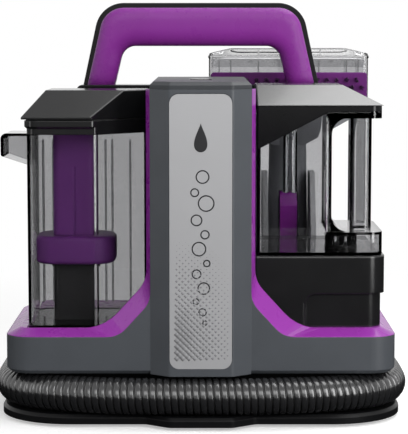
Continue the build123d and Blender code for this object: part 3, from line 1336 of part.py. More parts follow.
def make_board(z0):
    """Circuit board on four posts at the back of the column, with its filter can."""
    wall_y = COLUMN_BACK_Y - WALL
    back = wall_y - BOARD_STANDOFF
    front = back - BOARD_THICKNESS
    board = block(-BOARD_HALF, BOARD_HALF, front, back, z0, z0 + BOARD_HEIGHT)
    for x in (-BOARD_POST_X, BOARD_POST_X):
        for z in (z0 + BOARD_POST_INSET, z0 + BOARD_HEIGHT - BOARD_POST_INSET):
            board += rod(BOARD_POST, (x, back, z), (x, wall_y, z))
    can_z = z0 + FILTER_RISE
    return board + block(-FILTER_HALF, FILTER_HALF, front - FILTER_DEPTH, front, can_z, can_z + FILTER_HEIGHT)


def make_fan():
    """Suction fan on the motor shaft, its housing, the motor and the frame they stand on."""
    wide = COLUMN_HALF_WIDTH - WALL - FRAME_GAP
    y0 = MOTOR_Y - FRAME_FRONT
    y1 = MOTOR_Y + FRAME_BACK
    centre = (0, MOTOR_Y)
    frame = block(-wide, wide, y0, y1, FRAME_Z, FAN_Z)
    for x in (-wide, wide - FRAME_LEG):
        for y in (y0, y1 - FRAME_LEG):
            frame += block(x, x + FRAME_LEG, y, y + FRAME_LEG, BASE_TOP, FRAME_Z)
    frame -= rod(FAN_EYE, (*centre, FRAME_Z), (*centre, FAN_Z))
    floor_top = FAN_Z + FAN_WALL
    housing = rod(FAN_HOUSING_RADIUS, (*centre, FAN_Z), (*centre, MOTOR_Z))
    housing -= rod(FAN_HOUSING_RADIUS - FAN_WALL, (*centre, floor_top), (*centre, MOTOR_Z))
    housing -= rod(FAN_EYE, (*centre, FAN_Z), (*centre, floor_top))
    outlet_y = (MOTOR_Y, MOTOR_Y + 2 * FAN_HOUSING_RADIUS)
    outlet_z = (FAN_Z + FAN_OUTLET_RIM, MOTOR_Z - FAN_OUTLET_RIM)
    housing -= block(-FAN_OUTLET_HALF, FAN_OUTLET_HALF, *outlet_y, *outlet_z)
    wheel_z = FAN_Z + FAN_GAP
    motor_top = MOTOR_Z + MOTOR_HEIGHT
    motor = rod(MOTOR_RADIUS, (*centre, MOTOR_Z), (*centre, motor_top))
    motor += rod(FAN_HOUSING_RADIUS, (*centre, MOTOR_Z), (*centre, MOTOR_Z + MOTOR_FLANGE))
    motor -= rod(SHAFT_RADIUS + RUN_FIT, (*centre, MOTOR_Z), (*centre, motor_top))
    shaft_ends = [(*centre, wheel_z - SHAFT_FOOT), (*centre, motor_top + SHAFT_PROUD)]
    return {
        "motor_frame": frame,
        "fan_housing": housing,
        "fan_impeller": make_impeller(wheel_z, MOTOR_Z - FAN_GAP),
        "motor_can": motor,
        "motor_shaft": rod(SHAFT_RADIUS, *shaft_ends),
        "circuit_board": make_board(motor_top),
    }


def exhaust_rect(inset):
    """Corners of the exhaust opening in the column's back, set in by an amount."""
    half = EXHAUST_HALF_WIDTH - inset
    return rect(-half, half, EXHAUST_Z0 + inset, EXHAUST_TOP - inset)


def make_exhaust():
    """Exhaust housing on the back of the column, with its slotted grille."""
    back_y = COLUMN_BACK_Y + EXHAUST_DEPTH
    housing = profile(exhaust_rect(0), COLUMN_BACK_Y, back_y, EXHAUST_CORNER)
    housing = chamfer(housing.edges().group_by(Axis.Y)[-1], EXHAUST_EDGE)
    housing -= profile(exhaust_rect(GRILLE_INSET + GRILLE_LAP), COLUMN_BACK_Y, back_y)
    face_y = (back_y, back_y + GRILLE_THICKNESS)
    grille = profile(exhaust_rect(GRILLE_INSET), *face_y, GRILLE_CORNER)
    half = EXHAUST_HALF_WIDTH - GRILLE_INSET - GRILLE_RIM
    z0 = EXHAUST_Z0 + GRILLE_INSET + GRILLE_RIM
    step = (EXHAUST_TOP - GRILLE_INSET - GRILLE_RIM - z0) / GRILLE_SLOTS
    for index in range(GRILLE_SLOTS):
        z = z0 + step * (index + 0.5)
        grille -= block(-half, half, *face_y, z - GRILLE_SLOT_HALF, z + GRILLE_SLOT_HALF)
    return {"exhaust_housing": housing, "exhaust_grille": grille}


def grip_section(z, shrink):
    """One oval section of the tool's grip."""
    return Pos(TOOL_X, TOOL_Y, z) * Ellipse(GRIP_HALF_WIDTH - shrink, GRIP_HALF_DEPTH - shrink)


def make_tool_body(pin_ends):
    """Grip and head of the hand tool, with the hose bore, the trigger slot and the pin bore."""
    grip = loft(
        [
            grip_section(TOOL_GRIP_Z, 0),
            grip_section(GRIP_MID_Z, GRIP_TAPER / 2),
            grip_section(GRIP_TOP_Z, GRIP_TAPER),
        ]
    )
    half = TOOL_HEAD_HALF - TOOL_HEAD_WALL - FIT
    head_top = TOOL_HEAD_Z0 + TOOL_HEAD_PLUG
    head_points = [
        (TOOL_X - NECK_HALF, NECK_Z),
        (TOOL_X + NECK_HALF, NECK_Z),
        (TOOL_X + half, TOOL_HEAD_Z0),
        (TOOL_X + half, head_top),
        (TOOL_X - half, head_top),
        (TOOL_X - half, TOOL_HEAD_Z0),
    ]
    inset = TOOL_HEAD_WALL + FIT
    body = grip + profile(head_points, TOOL_HEAD_Y0 + inset, TOOL_HEAD_Y1 - inset)
    body -= rod(HOSE_BORE, (TOOL_X, TOOL_Y, TOOL_GRIP_Z), (TOOL_X, TOOL_Y, head_top))
    slot = TRIGGER_HALF_WIDTH + SLOT_GAP
    cheek = slot + SLOT_WALL
    low = TRIGGER_Z0 - SLOT_END
    high = TRIGGER_PIVOT_Z + SLOT_END
    box_y = (TOOL_Y - SLOT_CHEEK_REACH, SLOT_BACK_Y + SLOT_WALL)
    body += block(TOOL_X - cheek, TOOL_X + cheek, *box_y, low - SLOT_WALL, high + SLOT_WALL)
    body -= block(TOOL_X - slot, TOOL_X + slot, TRIGGER_FRONT_Y, SLOT_BACK_Y, low, high)
    return body - rod(PIN_RADIUS + RUN_FIT, *pin_ends)


def make_trigger(pin_ends):
    """Lever of the hand tool, hung from its pin."""
    back = TRIGGER_FRONT_Y + TRIGGER_DEPTH
    eye = TRIGGER_EYE
    points = [
        (TRIGGER_PIVOT_Y + eye, TRIGGER_PIVOT_Z + eye),
        (TRIGGER_PIVOT_Y - eye, TRIGGER_PIVOT_Z + eye),
        (TRIGGER_FRONT_Y, TRIGGER_Z1),
        (TRIGGER_FRONT_Y, TRIGGER_Z0 + TRIGGER_DEPTH / 2),
        (TRIGGER_FRONT_Y + TRIGGER_DEPTH / 2, TRIGGER_Z0),
        (back, TRIGGER_Z0),
        (back, TRIGGER_Z1 - TRIGGER_DEPTH / 4),
        (TRIGGER_PIVOT_Y + eye, TRIGGER_PIVOT_Z - eye),
    ]
    lever = side(points, TOOL_X - TRIGGER_HALF_WIDTH, TOOL_X + TRIGGER_HALF_WIDTH, TRIGGER_ROUND)
    return lever - rod(PIN_RADIUS + RUN_FIT, *pin_ends)


def make_tool():
    """Hand tool: grip, clear nozzle, brush, trigger with its pin and spring."""
    pin_ends = [(TOOL_X + x, TRIGGER_PIVOT_Y, TRIGGER_PIVOT_Z) for x in (-TRIGGER_PIN_HALF, TRIGGER_PIN_HALF)]
    spring_z = TRIGGER_Z0 + TRIGGER_DEPTH
    spring_start = (TOOL_X, TRIGGER_FRONT_Y + TRIGGER_DEPTH + SPRING_GAP, spring_z)
    spring_end = (TOOL_X, SLOT_BACK_Y - SPRING_GAP, spring_z)
    return {
        "tool_body": make_tool_body(pin_ends),
        "tool_nozzle": make_nozzle(),
        "tool_brush": make_brush(),
        "tool_trigger": make_trigger(pin_ends),
        "trigger_pin": rod(PIN_RADIUS, *pin_ends),
        "trigger_spring": coil(TRIGGER_COIL, TRIGGER_WIRE, spring_start, spring_end, SPRING_TURNS),
    }


def make_nozzle():
    """Clear hood of the hand tool, open at its mouth and where the head goes in."""

    def hood(inset):
        half = TOOL_HEAD_HALF - inset
        corner_z = TOOL_HEAD_TOP - NOZZLE_CORNER
        points = [
            (TOOL_X - half, TOOL_HEAD_Z0),
            (TOOL_X + half, TOOL_HEAD_Z0),
            (TOOL_X + half, corner_z),
            (TOOL_X + half - NOZZLE_CORNER, TOOL_HEAD_TOP),
            (TOOL_X - half + NOZZLE_CORNER, TOOL_HEAD_TOP),
            (TOOL_X - half, corner_z),
        ]
        return profile(points, TOOL_HEAD_Y0 + inset, TOOL_HEAD_Y1 - inset)

    return hood(0) - hood(TOOL_HEAD_WALL)


def make_brush():
    """Purple brush plate on the front of the nozzle, with rows of tufts."""
    back = TOOL_HEAD_Y0
    front = back - BRUSH_THICKNESS
    points = rect(TOOL_X - BRUSH_HALF, TOOL_X + BRUSH_HALF, TOOL_HEAD_Z0 + BRUSH_FOOT, BRUSH_TOP)
    plate = profile(points, front, back, BRUSH_ROUND)
    strands = []
    for row in range(TUFT_ROWS):
        z = BRUSH_TOP - TUFT_EDGE - row * TUFT_ROW_PITCH
        shift = (row % 2 - 0.5) * TUFT_PITCH / 2
        for place in range(TUFT_COLUMNS):
            x = TOOL_X + (place - (TUFT_COLUMNS - 1) / 2) * TUFT_PITCH + shift
            strands += tuft(x, z, front)
    return plate + strands


def tuft(x, z, root_y):
    """Square strands of one tuft, in a ring round one in the middle."""
    places = [(x, z)]
    for index in range(TUFT_STRANDS - 1):
        angle = 2 * math.pi * index / (TUFT_STRANDS - 1)
        places.append((x + TUFT_RADIUS * math.cos(angle), z + TUFT_RADIUS * math.sin(angle)))
    half = BRISTLE_SIDE / 2
    ends = (root_y - BRISTLE_LENGTH, root_y + BRISTLE_SIDE)
    return [block(px - half, px + half, *ends, pz - half, pz + half) for px, pz in places]


def make_dock():
    """Cradle on the back of the pump housing: two cheeks beside the grip and a shelf under the cuff."""
    inner = GRIP_HALF_WIDTH + FIT
    outer = inner + DOCK_CHEEK
    shelf_top = HOSE_TOP - FIT
    notch = HOSE_RADIUS + DOCK_NOTCH
    dock = block(TOOL_X - outer, TOOL_X + outer, PUMP_BACK_Y, DOCK_Y1, DOCK_Z0, shelf_top)
    dock -= rod(notch, (TOOL_X, TOOL_Y, DOCK_Z0), (TOOL_X, TOOL_Y, shelf_top))
    dock -= block(TOOL_X - notch, TOOL_X + notch, TOOL_Y, DOCK_Y1, DOCK_Z0, shelf_top)
    cheek_points = [
        (PUMP_BACK_Y, DOCK_Z0),
        (DOCK_Y1, DOCK_Z0),
        (DOCK_Y1, DOCK_Z1),
        (TOOL_Y - GRIP_HALF_DEPTH - DOCK_LEAN, DOCK_Z1),
        (PUMP_BACK_Y, PUMP_TOP),
    ]
    rounds = [0, DOCK_ROUND, DOCK_ROUND, DOCK_ROUND, 0]
    for x in (TOOL_X - outer, TOOL_X + inner):
        dock += side(cheek_points, x, x + DOCK_CHEEK, rounds)
    return {"tool_dock": dock}


def as_one(shape):
    """A list of like pieces as one group of separate solids."""
    return Compound([piece.solid() for piece in shape]) if isinstance(shape, list) else shape


def main():
    """Build every sub-part and write it to its own file."""
    nodes = {}
    makers = [
        make_base,
        make_drum,
        make_hose,
        make_shells,
        make_trim,
        make_power,
        make_handle,
        make_dirty_tank,
        make_suction_stack,
        make_clean_tank,
        make_valve,
        make_pump,
        make_ducts,
        make_fan,
        make_exhaust,
        make_tool,
        make_dock,
    ]
    for make in makers:
        nodes.update(make())
    os.makedirs("parts", exist_ok=True)
    for name, shape in nodes.items():
        export_step(Pos(0, DEPTH_SHIFT, 0) * as_one(shape), os.path.join("parts", name + ".step"))
    print("nodes", len(nodes))


if __name__ == "__main__":
    main()
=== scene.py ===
"""Looks of a portable spot carpet cleaner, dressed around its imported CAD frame."""

import logging
import math
from dataclasses import dataclass, field
from enum import Enum

import bmesh
import bpy
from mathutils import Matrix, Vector


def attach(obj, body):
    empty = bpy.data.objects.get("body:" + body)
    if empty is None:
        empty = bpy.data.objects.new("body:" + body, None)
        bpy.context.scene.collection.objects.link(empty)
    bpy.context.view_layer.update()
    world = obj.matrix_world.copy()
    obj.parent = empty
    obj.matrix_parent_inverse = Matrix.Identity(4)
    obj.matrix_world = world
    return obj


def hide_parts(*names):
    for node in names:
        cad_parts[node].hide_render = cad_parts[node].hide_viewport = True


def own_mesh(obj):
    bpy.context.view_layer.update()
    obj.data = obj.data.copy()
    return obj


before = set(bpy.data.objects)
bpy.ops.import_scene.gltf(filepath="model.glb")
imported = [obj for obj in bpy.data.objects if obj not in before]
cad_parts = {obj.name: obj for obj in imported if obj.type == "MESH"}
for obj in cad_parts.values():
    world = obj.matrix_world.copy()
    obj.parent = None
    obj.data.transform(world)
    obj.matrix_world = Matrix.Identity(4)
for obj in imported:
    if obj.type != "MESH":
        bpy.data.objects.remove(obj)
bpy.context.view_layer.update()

LOG = logging.getLogger("spot_cleaner")
MM = 0.001  # the machine's sizes are in millimetres, or with MM in metres; the studio's are in metres
MACHINE = "machine_body"

Point = tuple[float, float, float]
Colour = tuple[float, float, float]
Pair = tuple[float, float]
Blocks = tuple[tuple[float, ...], ...]
Socket = bpy.types.NodeSocket
Piece = bpy.types.Object

SOFT_DETAIL = 2  # octaves of the softest noise
BEVEL_SAMPLES = 6  # rays that round a normal
BEVEL_SEGMENTS = 3  # faces across a bevelled edge
EDGE_COSINES = (0.99, 0.8)  # rounded normal against plain normal, off an edge and on it
BRUSH_SPAN = (0.2, 0.8)  # noise in the smoothest and the roughest line of a brush
CORNER_STEPS = 6
FRONT_FACING = (math.pi / 2, 0, 0)


class Graph:
    """A node tree that is filled one node at a time."""

    def __init__(self, tree: bpy.types.NodeTree) -> None:
        """Starts from an empty tree."""
        self.tree = tree
        tree.nodes.clear()

    def wire(self, node: bpy.types.Node, wires: dict) -> None:
        """Sets inputs of a node.

        Args:
            node: The node.
            wires: For each input, by name or number, a value or another node's output.
        """
        for key, value in wires.items():
            if isinstance(value, Socket):
                self.tree.links.new(value, node.inputs[key])
            else:
                node.inputs[key].default_value = value

    def add(self, kind: str, wires: dict | None = None, **settings: object) -> bpy.types.Node:
        """Adds one node.

        Args:
            kind: Blender's name of the node type.
            wires: What its inputs are set to, as in wire.
            settings: The node's own properties.

        Returns:
            The new node.
        """
        node = self.tree.nodes.new(kind)
        for name, value in settings.items():
            setattr(node, name, value)
        self.wire(node, wires or {})
        return node

    def out(self, kind: str, wires: dict | None = None, **settings: object) -> Socket:
        """Adds one node, as add does, and gives its first output."""
        return self.add(kind, wires, **settings).outputs[0]

    def math(self, operation: str, *values: object) -> Socket:
        """Adds a Math node with these numbers or sockets and gives its result."""
        return self.out("ShaderNodeMath", dict(enumerate(values)), operation=operation)

    def ramp(self, value: object, low: float, high: float, first: object, last: object) -> Socket:
        """Maps a value smoothly from the range low to high to the range first to last."""
        wires = {0: value, 1: low, 2: high, 3: first, 4: last}
        return self.out("ShaderNodeMapRange", wires, interpolation_type="SMOOTHSTEP")


class Surface(Graph):
    """A material's node tree, with the textures that the finishes share."""

    def place(self, stretch: Point = (1, 1, 1)) -> Socket:
        """Gives the piece's own coordinates, scaled along each axis."""
        place = self.add("ShaderNodeTexCoord").outputs["Object"]
        return self.out("ShaderNodeMapping", {"Vector": place, "Scale": stretch})

    def noise(self, size: float, detail: float = 3, stretch: Point = (1, 1, 1)) -> Socket:
        """Adds noise from 0 to 1, with spots of a size in metres and octaves of finer noise."""
        wires = {"Vector": self.place(stretch), "Scale": 1 / size, "Detail": detail}
        return self.add("ShaderNodeTexNoise", wires).outputs["Fac"]

    def blend(self, share: object, first: object, last: object) -> Socket:
        """Mixes two colours.

        Args:
            share: How much of the last one.
            first: A colour or socket.
            last: A colour or socket.

        Returns:
            The mixed colour's socket.
        """
        ends = [part if isinstance(part, Socket) else (*part, 1) for part in (first, last)]
        wires = {"Factor": share, 6: ends[0], 7: ends[1]}
        return self.add("ShaderNodeMix", wires, data_type="RGBA").outputs[2]

    def rounded(self, radius: float) -> Socket:
        """Gives a normal that rolls over the edges of a piece."""
        return self.out("ShaderNodeBevel", {"Radius": radius}, samples=BEVEL_SAMPLES)

    def edges(self, rounded: Socket) -> Socket:
        """Finds the edges of a piece, by how far a rounded normal leaves the plain one.

        Args:
            rounded: The rounded normal's socket.

        Returns:
            A mask's socket, 1 at the edges.
        """
        plain = self.add("ShaderNodeNewGeometry").outputs["Normal"]
        along = self.add("ShaderNodeVectorMath", {0: rounded, 1: plain}, operation="DOT_PRODUCT")
        return self.ramp(along.outputs["Value"], *EDGE_COSINES, 0.0, 1.0)

    def bump(self, height: object, depth: float, under: object = None) -> Socket:
        """Turns a height into a normal.

        Args:
            height: The height's socket, from 0 to 1.
            depth: Real depth in metres.
            under: The normal of a coarser bump below.

        Returns:
            The normal's socket.
        """
        wires = {"Height": height, "Distance": depth, "Strength": 1.0}
        if under is not None:
            wires["Normal"] = under
        return self.out("ShaderNodeBump", wires)


def new_material(name: str) -> tuple[bpy.types.Material, Surface]:
    """Starts a material.

    Args:
        name: Its name.

    Returns:
        The material and its empty tree.
    """
    material = bpy.data.materials.new(name)
    material.use_nodes = True
    return material, Surface(material.node_tree)


def shade(colour: Colour, factor: float, lift: float = 0.0) -> Colour:
    """Makes a colour darker or lighter.

    Args:
        colour: The colour.
        factor: What its parts are multiplied by.
        lift: What is then added to them.

    Returns:
        The new colour, with no part over 1.
    """
    return tuple(min(1.0, part * factor + lift) for part in colour)


@dataclass(frozen=True)
class Patches:
    """Soft patches: size of a spot, octaves, and the noise at which they start and are full."""

    size: float
    detail: float
    start: float
    full: float

    def mask(self, surface: Surface, first: float = 0.0, last: float = 1.0) -> Socket:
        """Adds the patches to a material, with one value outside them and one inside."""
        noise = surface.noise(self.size, self.detail)
        return surface.ramp(noise, self.start, self.full, first, last)


CLOUDS = Patches(30 * MM, 4, 0.3, 0.7)
SCUFFS = Patches(4 * MM, 5, 0.42, 0.68)
SMEARS = Patches(12 * MM, 4, 0.3, 0.75)
HAZE = Patches(15 * MM, 4, 0.45, 0.8)
TARNISH = Patches(8 * MM, 4, 0.35, 0.7)
LACQUER = Patches(3 * MM, 3, 0.3, 0.7)
DUST = Patches(10 * MM, 5, 0.35, 0.75)


class Grain(Enum):
    """Grain of a mould: size of a spot and its depth, in metres."""

    POLISHED = (5.0 * MM, 0.004 * MM)
    SATIN = (0.7 * MM, 0.012 * MM)
    SPARKED = (1.1 * MM, 0.045 * MM)


@dataclass(frozen=True)
class Finish:
    """What every finish has: a name and a way to wire its shader."""

    name: str

    def material(self) -> bpy.types.Material:
        """Gives the material, made once under a name that no CAD material has.

        Returns:
            The Blender material.
        """
        label = f"{self.name}_finish"
        found = bpy.data.materials.get(label)
        if found is None:
            found, surface = new_material(label)
            shader = surface.add("ShaderNodeBsdfPrincipled")
            surface.wire(shader, self.wires(surface))
            wires = {"Surface": shader.outputs[0], **self.depth(surface)}
            surface.add("ShaderNodeOutputMaterial", wires)
        return found

    def wires(self, surface: Surface) -> dict[str, object]:
        """Gives a value or socket for each of the shader's inputs that is set."""
        raise NotImplementedError

    def depth(self, surface: Surface) -> dict[str, object]:
        """Gives the output's Volume input, or nothing for a solid colour."""
        return {}


@dataclass(frozen=True)
class MouldedPlastic(Finish):
    """Coloured plastic with mould grain, faint mottling and rubbed edges."""

    colour: Colour
    roughness: float
    grain: Grain = Grain.POLISHED
    shine: float = 0.5
    coat: float = 0.0
    mottle: float = 0.10
    wear: float = 0.25
    edge: float = 0.8 * MM
    smear: Pair = (0.96, 1.05)
    worn_shade: float = 1.5
    worn_lift: float = 0.05
    worn_roughness: float = 0.3
    coat_roughness: float = 0.05

    def wires(self, surface: Surface) -> dict[str, object]:
        """Wires mottled colour, mould grain and rubbed edges.

        Args:
            surface: The tree to add nodes to.

        Returns:
            A value or socket for each input that is set.
        """
        size, depth = self.grain.value
        dark, light = shade(self.colour, 1 - self.mottle), shade(self.colour, 1 + self.mottle)
        body = surface.blend(CLOUDS.mask(surface), dark, light)
        rounded = surface.rounded(self.edge)
        scuff = SCUFFS.mask(surface, 0.0, self.wear)
        rubbed = surface.math("MULTIPLY", surface.edges(rounded), scuff)
        worn = shade(self.colour, self.worn_shade, self.worn_lift)
        smear = SMEARS.mask(surface, *(self.roughness * part for part in self.smear))
        rough = surface.math("MULTIPLY", rubbed, self.worn_roughness)
        return {
            "Base Color": surface.blend(rubbed, body, worn),
            "Roughness": surface.math("ADD", smear, rough),
            "Normal": surface.bump(surface.noise(size, SOFT_DETAIL), depth, rounded),
            "Specular IOR Level": self.shine,
            "Coat Weight": self.coat,
            "Coat Roughness": self.coat_roughness,
            "Coat Normal": rounded,
        }


@dataclass(frozen=True)
class ClearPlastic(Finish):
    """See-through plastic with faint flow lines, hazy patches and, below a level, another tint."""

    tint: Colour
    smoke: float = 0.0
    roughness: float = 0.0
    index: float = 1.47
    low_tone: Colour = (0.02, 0.02, 0.02)
    low_tone_level: float = -1.0
    low_tone_edge: float = 1 * MM
    shadow: float = 0.12
    haze: float = 0.02
    flow_size: float = 20 * MM
    flow_lines: Point = (1, 1, 0.25)
    flow_depth: float = 0.03 * MM
    flow_shade: float = 0.93

    def wires(self, surface: Surface) -> dict[str, object]:
        """Wires the tint with its flow lines, haze and the other tint below a level.

        Args:
            surface: The tree to add nodes to.

        Returns:
            A value or socket for each input that is set.
        """
        flow = surface.noise(self.flow_size, stretch=self.flow_lines)
        body = surface.blend(flow, shade(self.tint, self.flow_shade), self.tint)
        height = surface.add("ShaderNodeSeparateXYZ", {0: surface.place()}).outputs["Z"]
        low_tone = surface.ramp(height, self.low_tone_level, self.low_tone_level - self.low_tone_edge, 0.0, 1.0)
        shadowed = surface.add("ShaderNodeLightPath").outputs["Is Shadow Ray"]
        return {
            "Base Color": surface.blend(low_tone, body, self.low_tone),
            "Roughness": HAZE.mask(surface, self.roughness, self.roughness + self.haze),
            "Normal": surface.bump(flow, self.flow_depth),
            "Transmission Weight": 1.0,
            "IOR": self.index,
            "Alpha": surface.ramp(shadowed, 0.0, 1.0, 1.0, self.shadow),
        }

    def depth(self, surface: Surface) -> dict[str, object]:
        """Smokes the plastic, so that thick walls, and walls seen edge on, are darker.

        Args:
            surface: The tree to add nodes to.

        Returns:
            The output's Volume input, or nothing without smoke.
        """
        if not self.smoke:
            return {}
        wires = {"Color": (0.0, 0.0, 0.0, 1), "Density": self.smoke}
        return {"Volume": surface.out("ShaderNodeVolumeAbsorption", wires)}


@dataclass(frozen=True)
class BrushedMetal(Finish):
    """Bare or painted metal with lines left by the brush or the saw."""

    colour: Colour
    roughness: float = 0.32
    lines: Point = (1, 1, 0.04)
    brush: float = 0.4 * MM
    brush_depth: float = 0.01 * MM
    spread: Pair = (0.75, 1.3)
    dull: float = 0.8

    def wires(self, surface: Surface) -> dict[str, object]:
        """Wires tarnish and brush lines.

        Args:
            surface: The tree to add nodes to.

        Returns:
            A value or socket for each input that is set.
        """
        brush = surface.noise(self.brush, stretch=self.lines)
        least, most = (self.roughness * part for part in self.spread)
        return {
            "Base Color": surface.blend(TARNISH.mask(surface), shade(self.colour, self.dull), self.colour),
            "Roughness": surface.ramp(brush, *BRUSH_SPAN, least, most),
            "Normal": surface.bump(brush, self.brush_depth),
            "Metallic": 1.0,
        }


@dataclass(frozen=True)
class CircuitBoard(Finish):
    """Green board with copper tracks under its lacquer."""

    colour: Colour = (0.02, 0.16, 0.06)
    track: Colour = (0.06, 0.30, 0.10)
    track_scale: float = 90.0
    track_width: float = 0.012
    track_depth: float = 0.05 * MM
    roughness: Pair = (0.25, 0.45)

    def wires(self, surface: Surface) -> dict[str, object]:
        """Wires tracks under lacquer.

        Args:
            surface: The tree to add nodes to.

        Returns:
            A value or socket for each input that is set.
        """
        wires = {"Vector": surface.place(), "Scale": self.track_scale, "Mortar Size": self.track_width}
        tracks = surface.add("ShaderNodeTexBrick", {**wires, "Bias": 0.0}).outputs["Fac"]
        return {
            "Base Color": surface.blend(tracks, self.colour, self.track),
            "Roughness": LACQUER.mask(surface, *self.roughness),
            "Normal": surface.bump(tracks, self.track_depth),
        }


@dataclass(frozen=True)
class HoseVinyl(Finish):
    """Satin black hose, with painted shade and dust down in its grooves."""

    crest: Colour = (0.014, 0.014, 0.015)
    # painted shade: the grooves are darker than the crests, for the shade that falls in them
    groove: Colour = (0.004, 0.004, 0.004)
    dust: Colour = (0.03, 0.029, 0.027)
    dust_share: float = 0.35
    groove_span: Pair = (0.1, 0.7)
    roughness: Pair = (0.19, 0.45)
    shine: float = 0.8
    grain: float = 1.5 * MM
    grain_depth: float = 0.02 * MM

    def wires(self, surface: Surface) -> dict[str, object]:
        """Wires painted shade and dust into the grooves between the crests.

        Args:
            surface: The tree to add nodes to.

        Returns:
            A value or socket for each input that is set.
        """
        depth = surface.add("ShaderNodeAttribute", attribute_name="groove").outputs["Fac"]
        dust = surface.math("MULTIPLY", depth, DUST.mask(surface, 0.0, self.dust_share))
        shade_and_dust = surface.blend(dust, self.groove, self.dust)
        return {
            "Base Color": surface.blend(surface.ramp(depth, *self.groove_span, 0.0, 1.0), self.crest, shade_and_dust),
            "Roughness": surface.ramp(depth, 0.0, 1.0, *self.roughness),
            "Normal": surface.bump(surface.noise(self.grain), self.grain_depth),
            "Specular IOR Level": self.shine,
        }


@dataclass(frozen=True)
class LabelFoil(Finish):
    """Satin silver label, finely brushed from side to side."""

    colour: Colour = (0.39, 0.39, 0.40)
    pale: float = 1.06
    cloud: float = 60 * MM
    lines: Point = (0.02, 1, 1)
    brush: float = 0.35 * MM
    brush_depth: float = 0.006 * MM
    roughness: Pair = (0.36, 0.52)
    metallic: float = 0.35
    shine: float = 0.4

    def wires(self, surface: Surface) -> dict[str, object]:
        """Wires fine brush lines.

        Args:
            surface: The tree to add nodes to.

        Returns:
            A value or socket for each input that is set.
        """
        brush = surface.noise(self.brush, stretch=self.lines)
        cloud = surface.noise(self.cloud, SOFT_DETAIL)
        return {
            "Base Color": surface.blend(cloud, self.colour, shade(self.colour, self.pale)),
            "Roughness": surface.ramp(brush, *BRUSH_SPAN, *self.roughness),
            "Normal": surface.bump(brush, self.brush_depth),
            "Metallic": self.metallic,
            "Specular IOR Level": self.shine,
        }


PURPLE = MouldedPlastic("purple_gloss", (0.275, 0.030, 0.335), 0.28, coat=0.15, shine=0.2, mottle=0.03)
# painted shade: a darker copy of the trim's purple, for the shade on the carry handle
GRIP_PURPLE_PAINTED_SHADE = MouldedPlastic(
    "grip_purple_painted_shade", (0.213, 0.0235, 0.259), 0.28, coat=0.15, shine=0.2, mottle=0.03, wear=0.0, edge=15.0 * MM
)
INNER_PURPLE = MouldedPlastic("inner_purple", (0.13, 0.030, 0.18), 0.42, Grain.SATIN, shine=0.25, mottle=0.04)
SHELL_GREY = MouldedPlastic(
    "shell_grey", (0.062, 0.068, 0.077), 0.42, Grain.SATIN, shine=0.35, mottle=0.04, wear=0.4
)
CAP_GREY = MouldedPlastic(
    "cap_grey", (0.038, 0.041, 0.046), 0.42, Grain.SATIN, shine=0.3, mottle=0.04, wear=0.4
)
GLOSS_BLACK = MouldedPlastic("gloss_black", (0.006, 0.006, 0.0065), 0.12, shine=0.22, wear=0.35)
LID_BLACK = MouldedPlastic("lid_black", (0.006, 0.006, 0.0065), 0.20, shine=1.0, coat=0.15, wear=0.35)
DARK_LID = MouldedPlastic("dark_lid", (0.006, 0.006, 0.0065), 0.16, shine=0.42, wear=0.35)
STACK_BLACK = MouldedPlastic("stack_black", (0.030, 0.030, 0.031), 0.3, shine=0.3)
# painted light: a light grey, so that the dock looks lit in the shade behind the clean tank
DOCK_GREY_PAINTED_LIGHT = MouldedPlastic("dock_grey_painted_light", (0.50, 0.505, 0.515), 0.45, Grain.SATIN, mottle=0.04)
# painted light: a lighter grey, so that the tool body looks lit in the shade behind the clean tank
TOOL_GREY_PAINTED_LIGHT = MouldedPlastic("tool_grey_painted_light", (0.21, 0.215, 0.23), 0.4, Grain.SATIN, shine=0.35, mottle=0.04)
# painted shade: a darker purple, for the shade on the brush plate inside the nozzle
BRUSH_PURPLE_PAINTED_SHADE = MouldedPlastic("brush_purple_painted_shade", (0.11, 0.011, 0.136), 0.35, Grain.SATIN, shine=0.2, mottle=0.04)
PUMP_BLACK = MouldedPlastic("pump_black", (0.010, 0.010, 0.0105), 0.18, shine=0.6, wear=0.2, edge=2.0 * MM)
BASE_BLACK = MouldedPlastic("base_black", (0.004, 0.004, 0.0045), 0.36, Grain.SATIN, shine=0.15, wear=0.3)
INNER_GREY = MouldedPlastic("inner_grey", (0.12, 0.12, 0.13), 0.5, Grain.SATIN)
FOOT_RUBBER = MouldedPlastic("foot_rubber", (0.012, 0.012, 0.012), 0.8, Grain.SPARKED, shine=0.2, mottle=0.3)
SEAL_RUBBER = MouldedPlastic("seal_rubber", (0.014, 0.014, 0.014), 0.65, Grain.SATIN, shine=0.3, mottle=0.3)
TANK_SMOKE = ClearPlastic("tank_smoke", (0.84, 0.84, 0.85), 140.0, low_tone_level=84.0 * MM)
TANK_CLEAR = ClearPlastic("tank_clear", (0.90, 0.90, 0.91), 100.0)
TUBE_CLEAR = ClearPlastic("tube_clear", (0.86, 0.87, 0.88))
NOZZLE_CLEAR = ClearPlastic(
    "nozzle_clear", (0.95, 0.95, 0.95), 30.0, low_tone=(0.66, 0.66, 0.67), low_tone_level=309.0 * MM
)
SCREW_STEEL = BrushedMetal("screw_steel", (0.55, 0.55, 0.56))
MOTOR_METAL = BrushedMetal("motor_metal", (0.25, 0.26, 0.28), 0.4)
PUMP_METAL = BrushedMetal("pump_metal", (0.6, 0.6, 0.62), 0.38, lines=(1, 1, 1))
BOARD_GREEN = CircuitBoard("board_green")
HOSE_BLACK = HoseVinyl("hose_black")
LABEL_SILVER = LabelFoil("label_silver")
PRINT_GREY = MouldedPlastic("print_grey", (0.27, 0.27, 0.28), 0.5, Grain.SATIN, shine=0.3)
PRINT_DARK = MouldedPlastic("print_dark", (0.016, 0.016, 0.018), 0.45, Grain.SATIN, shine=0.3)
BRISTLE_DARK = MouldedPlastic("bristle_dark", (0.035, 0.006, 0.045), 0.4, Grain.SATIN, mottle=0.3)


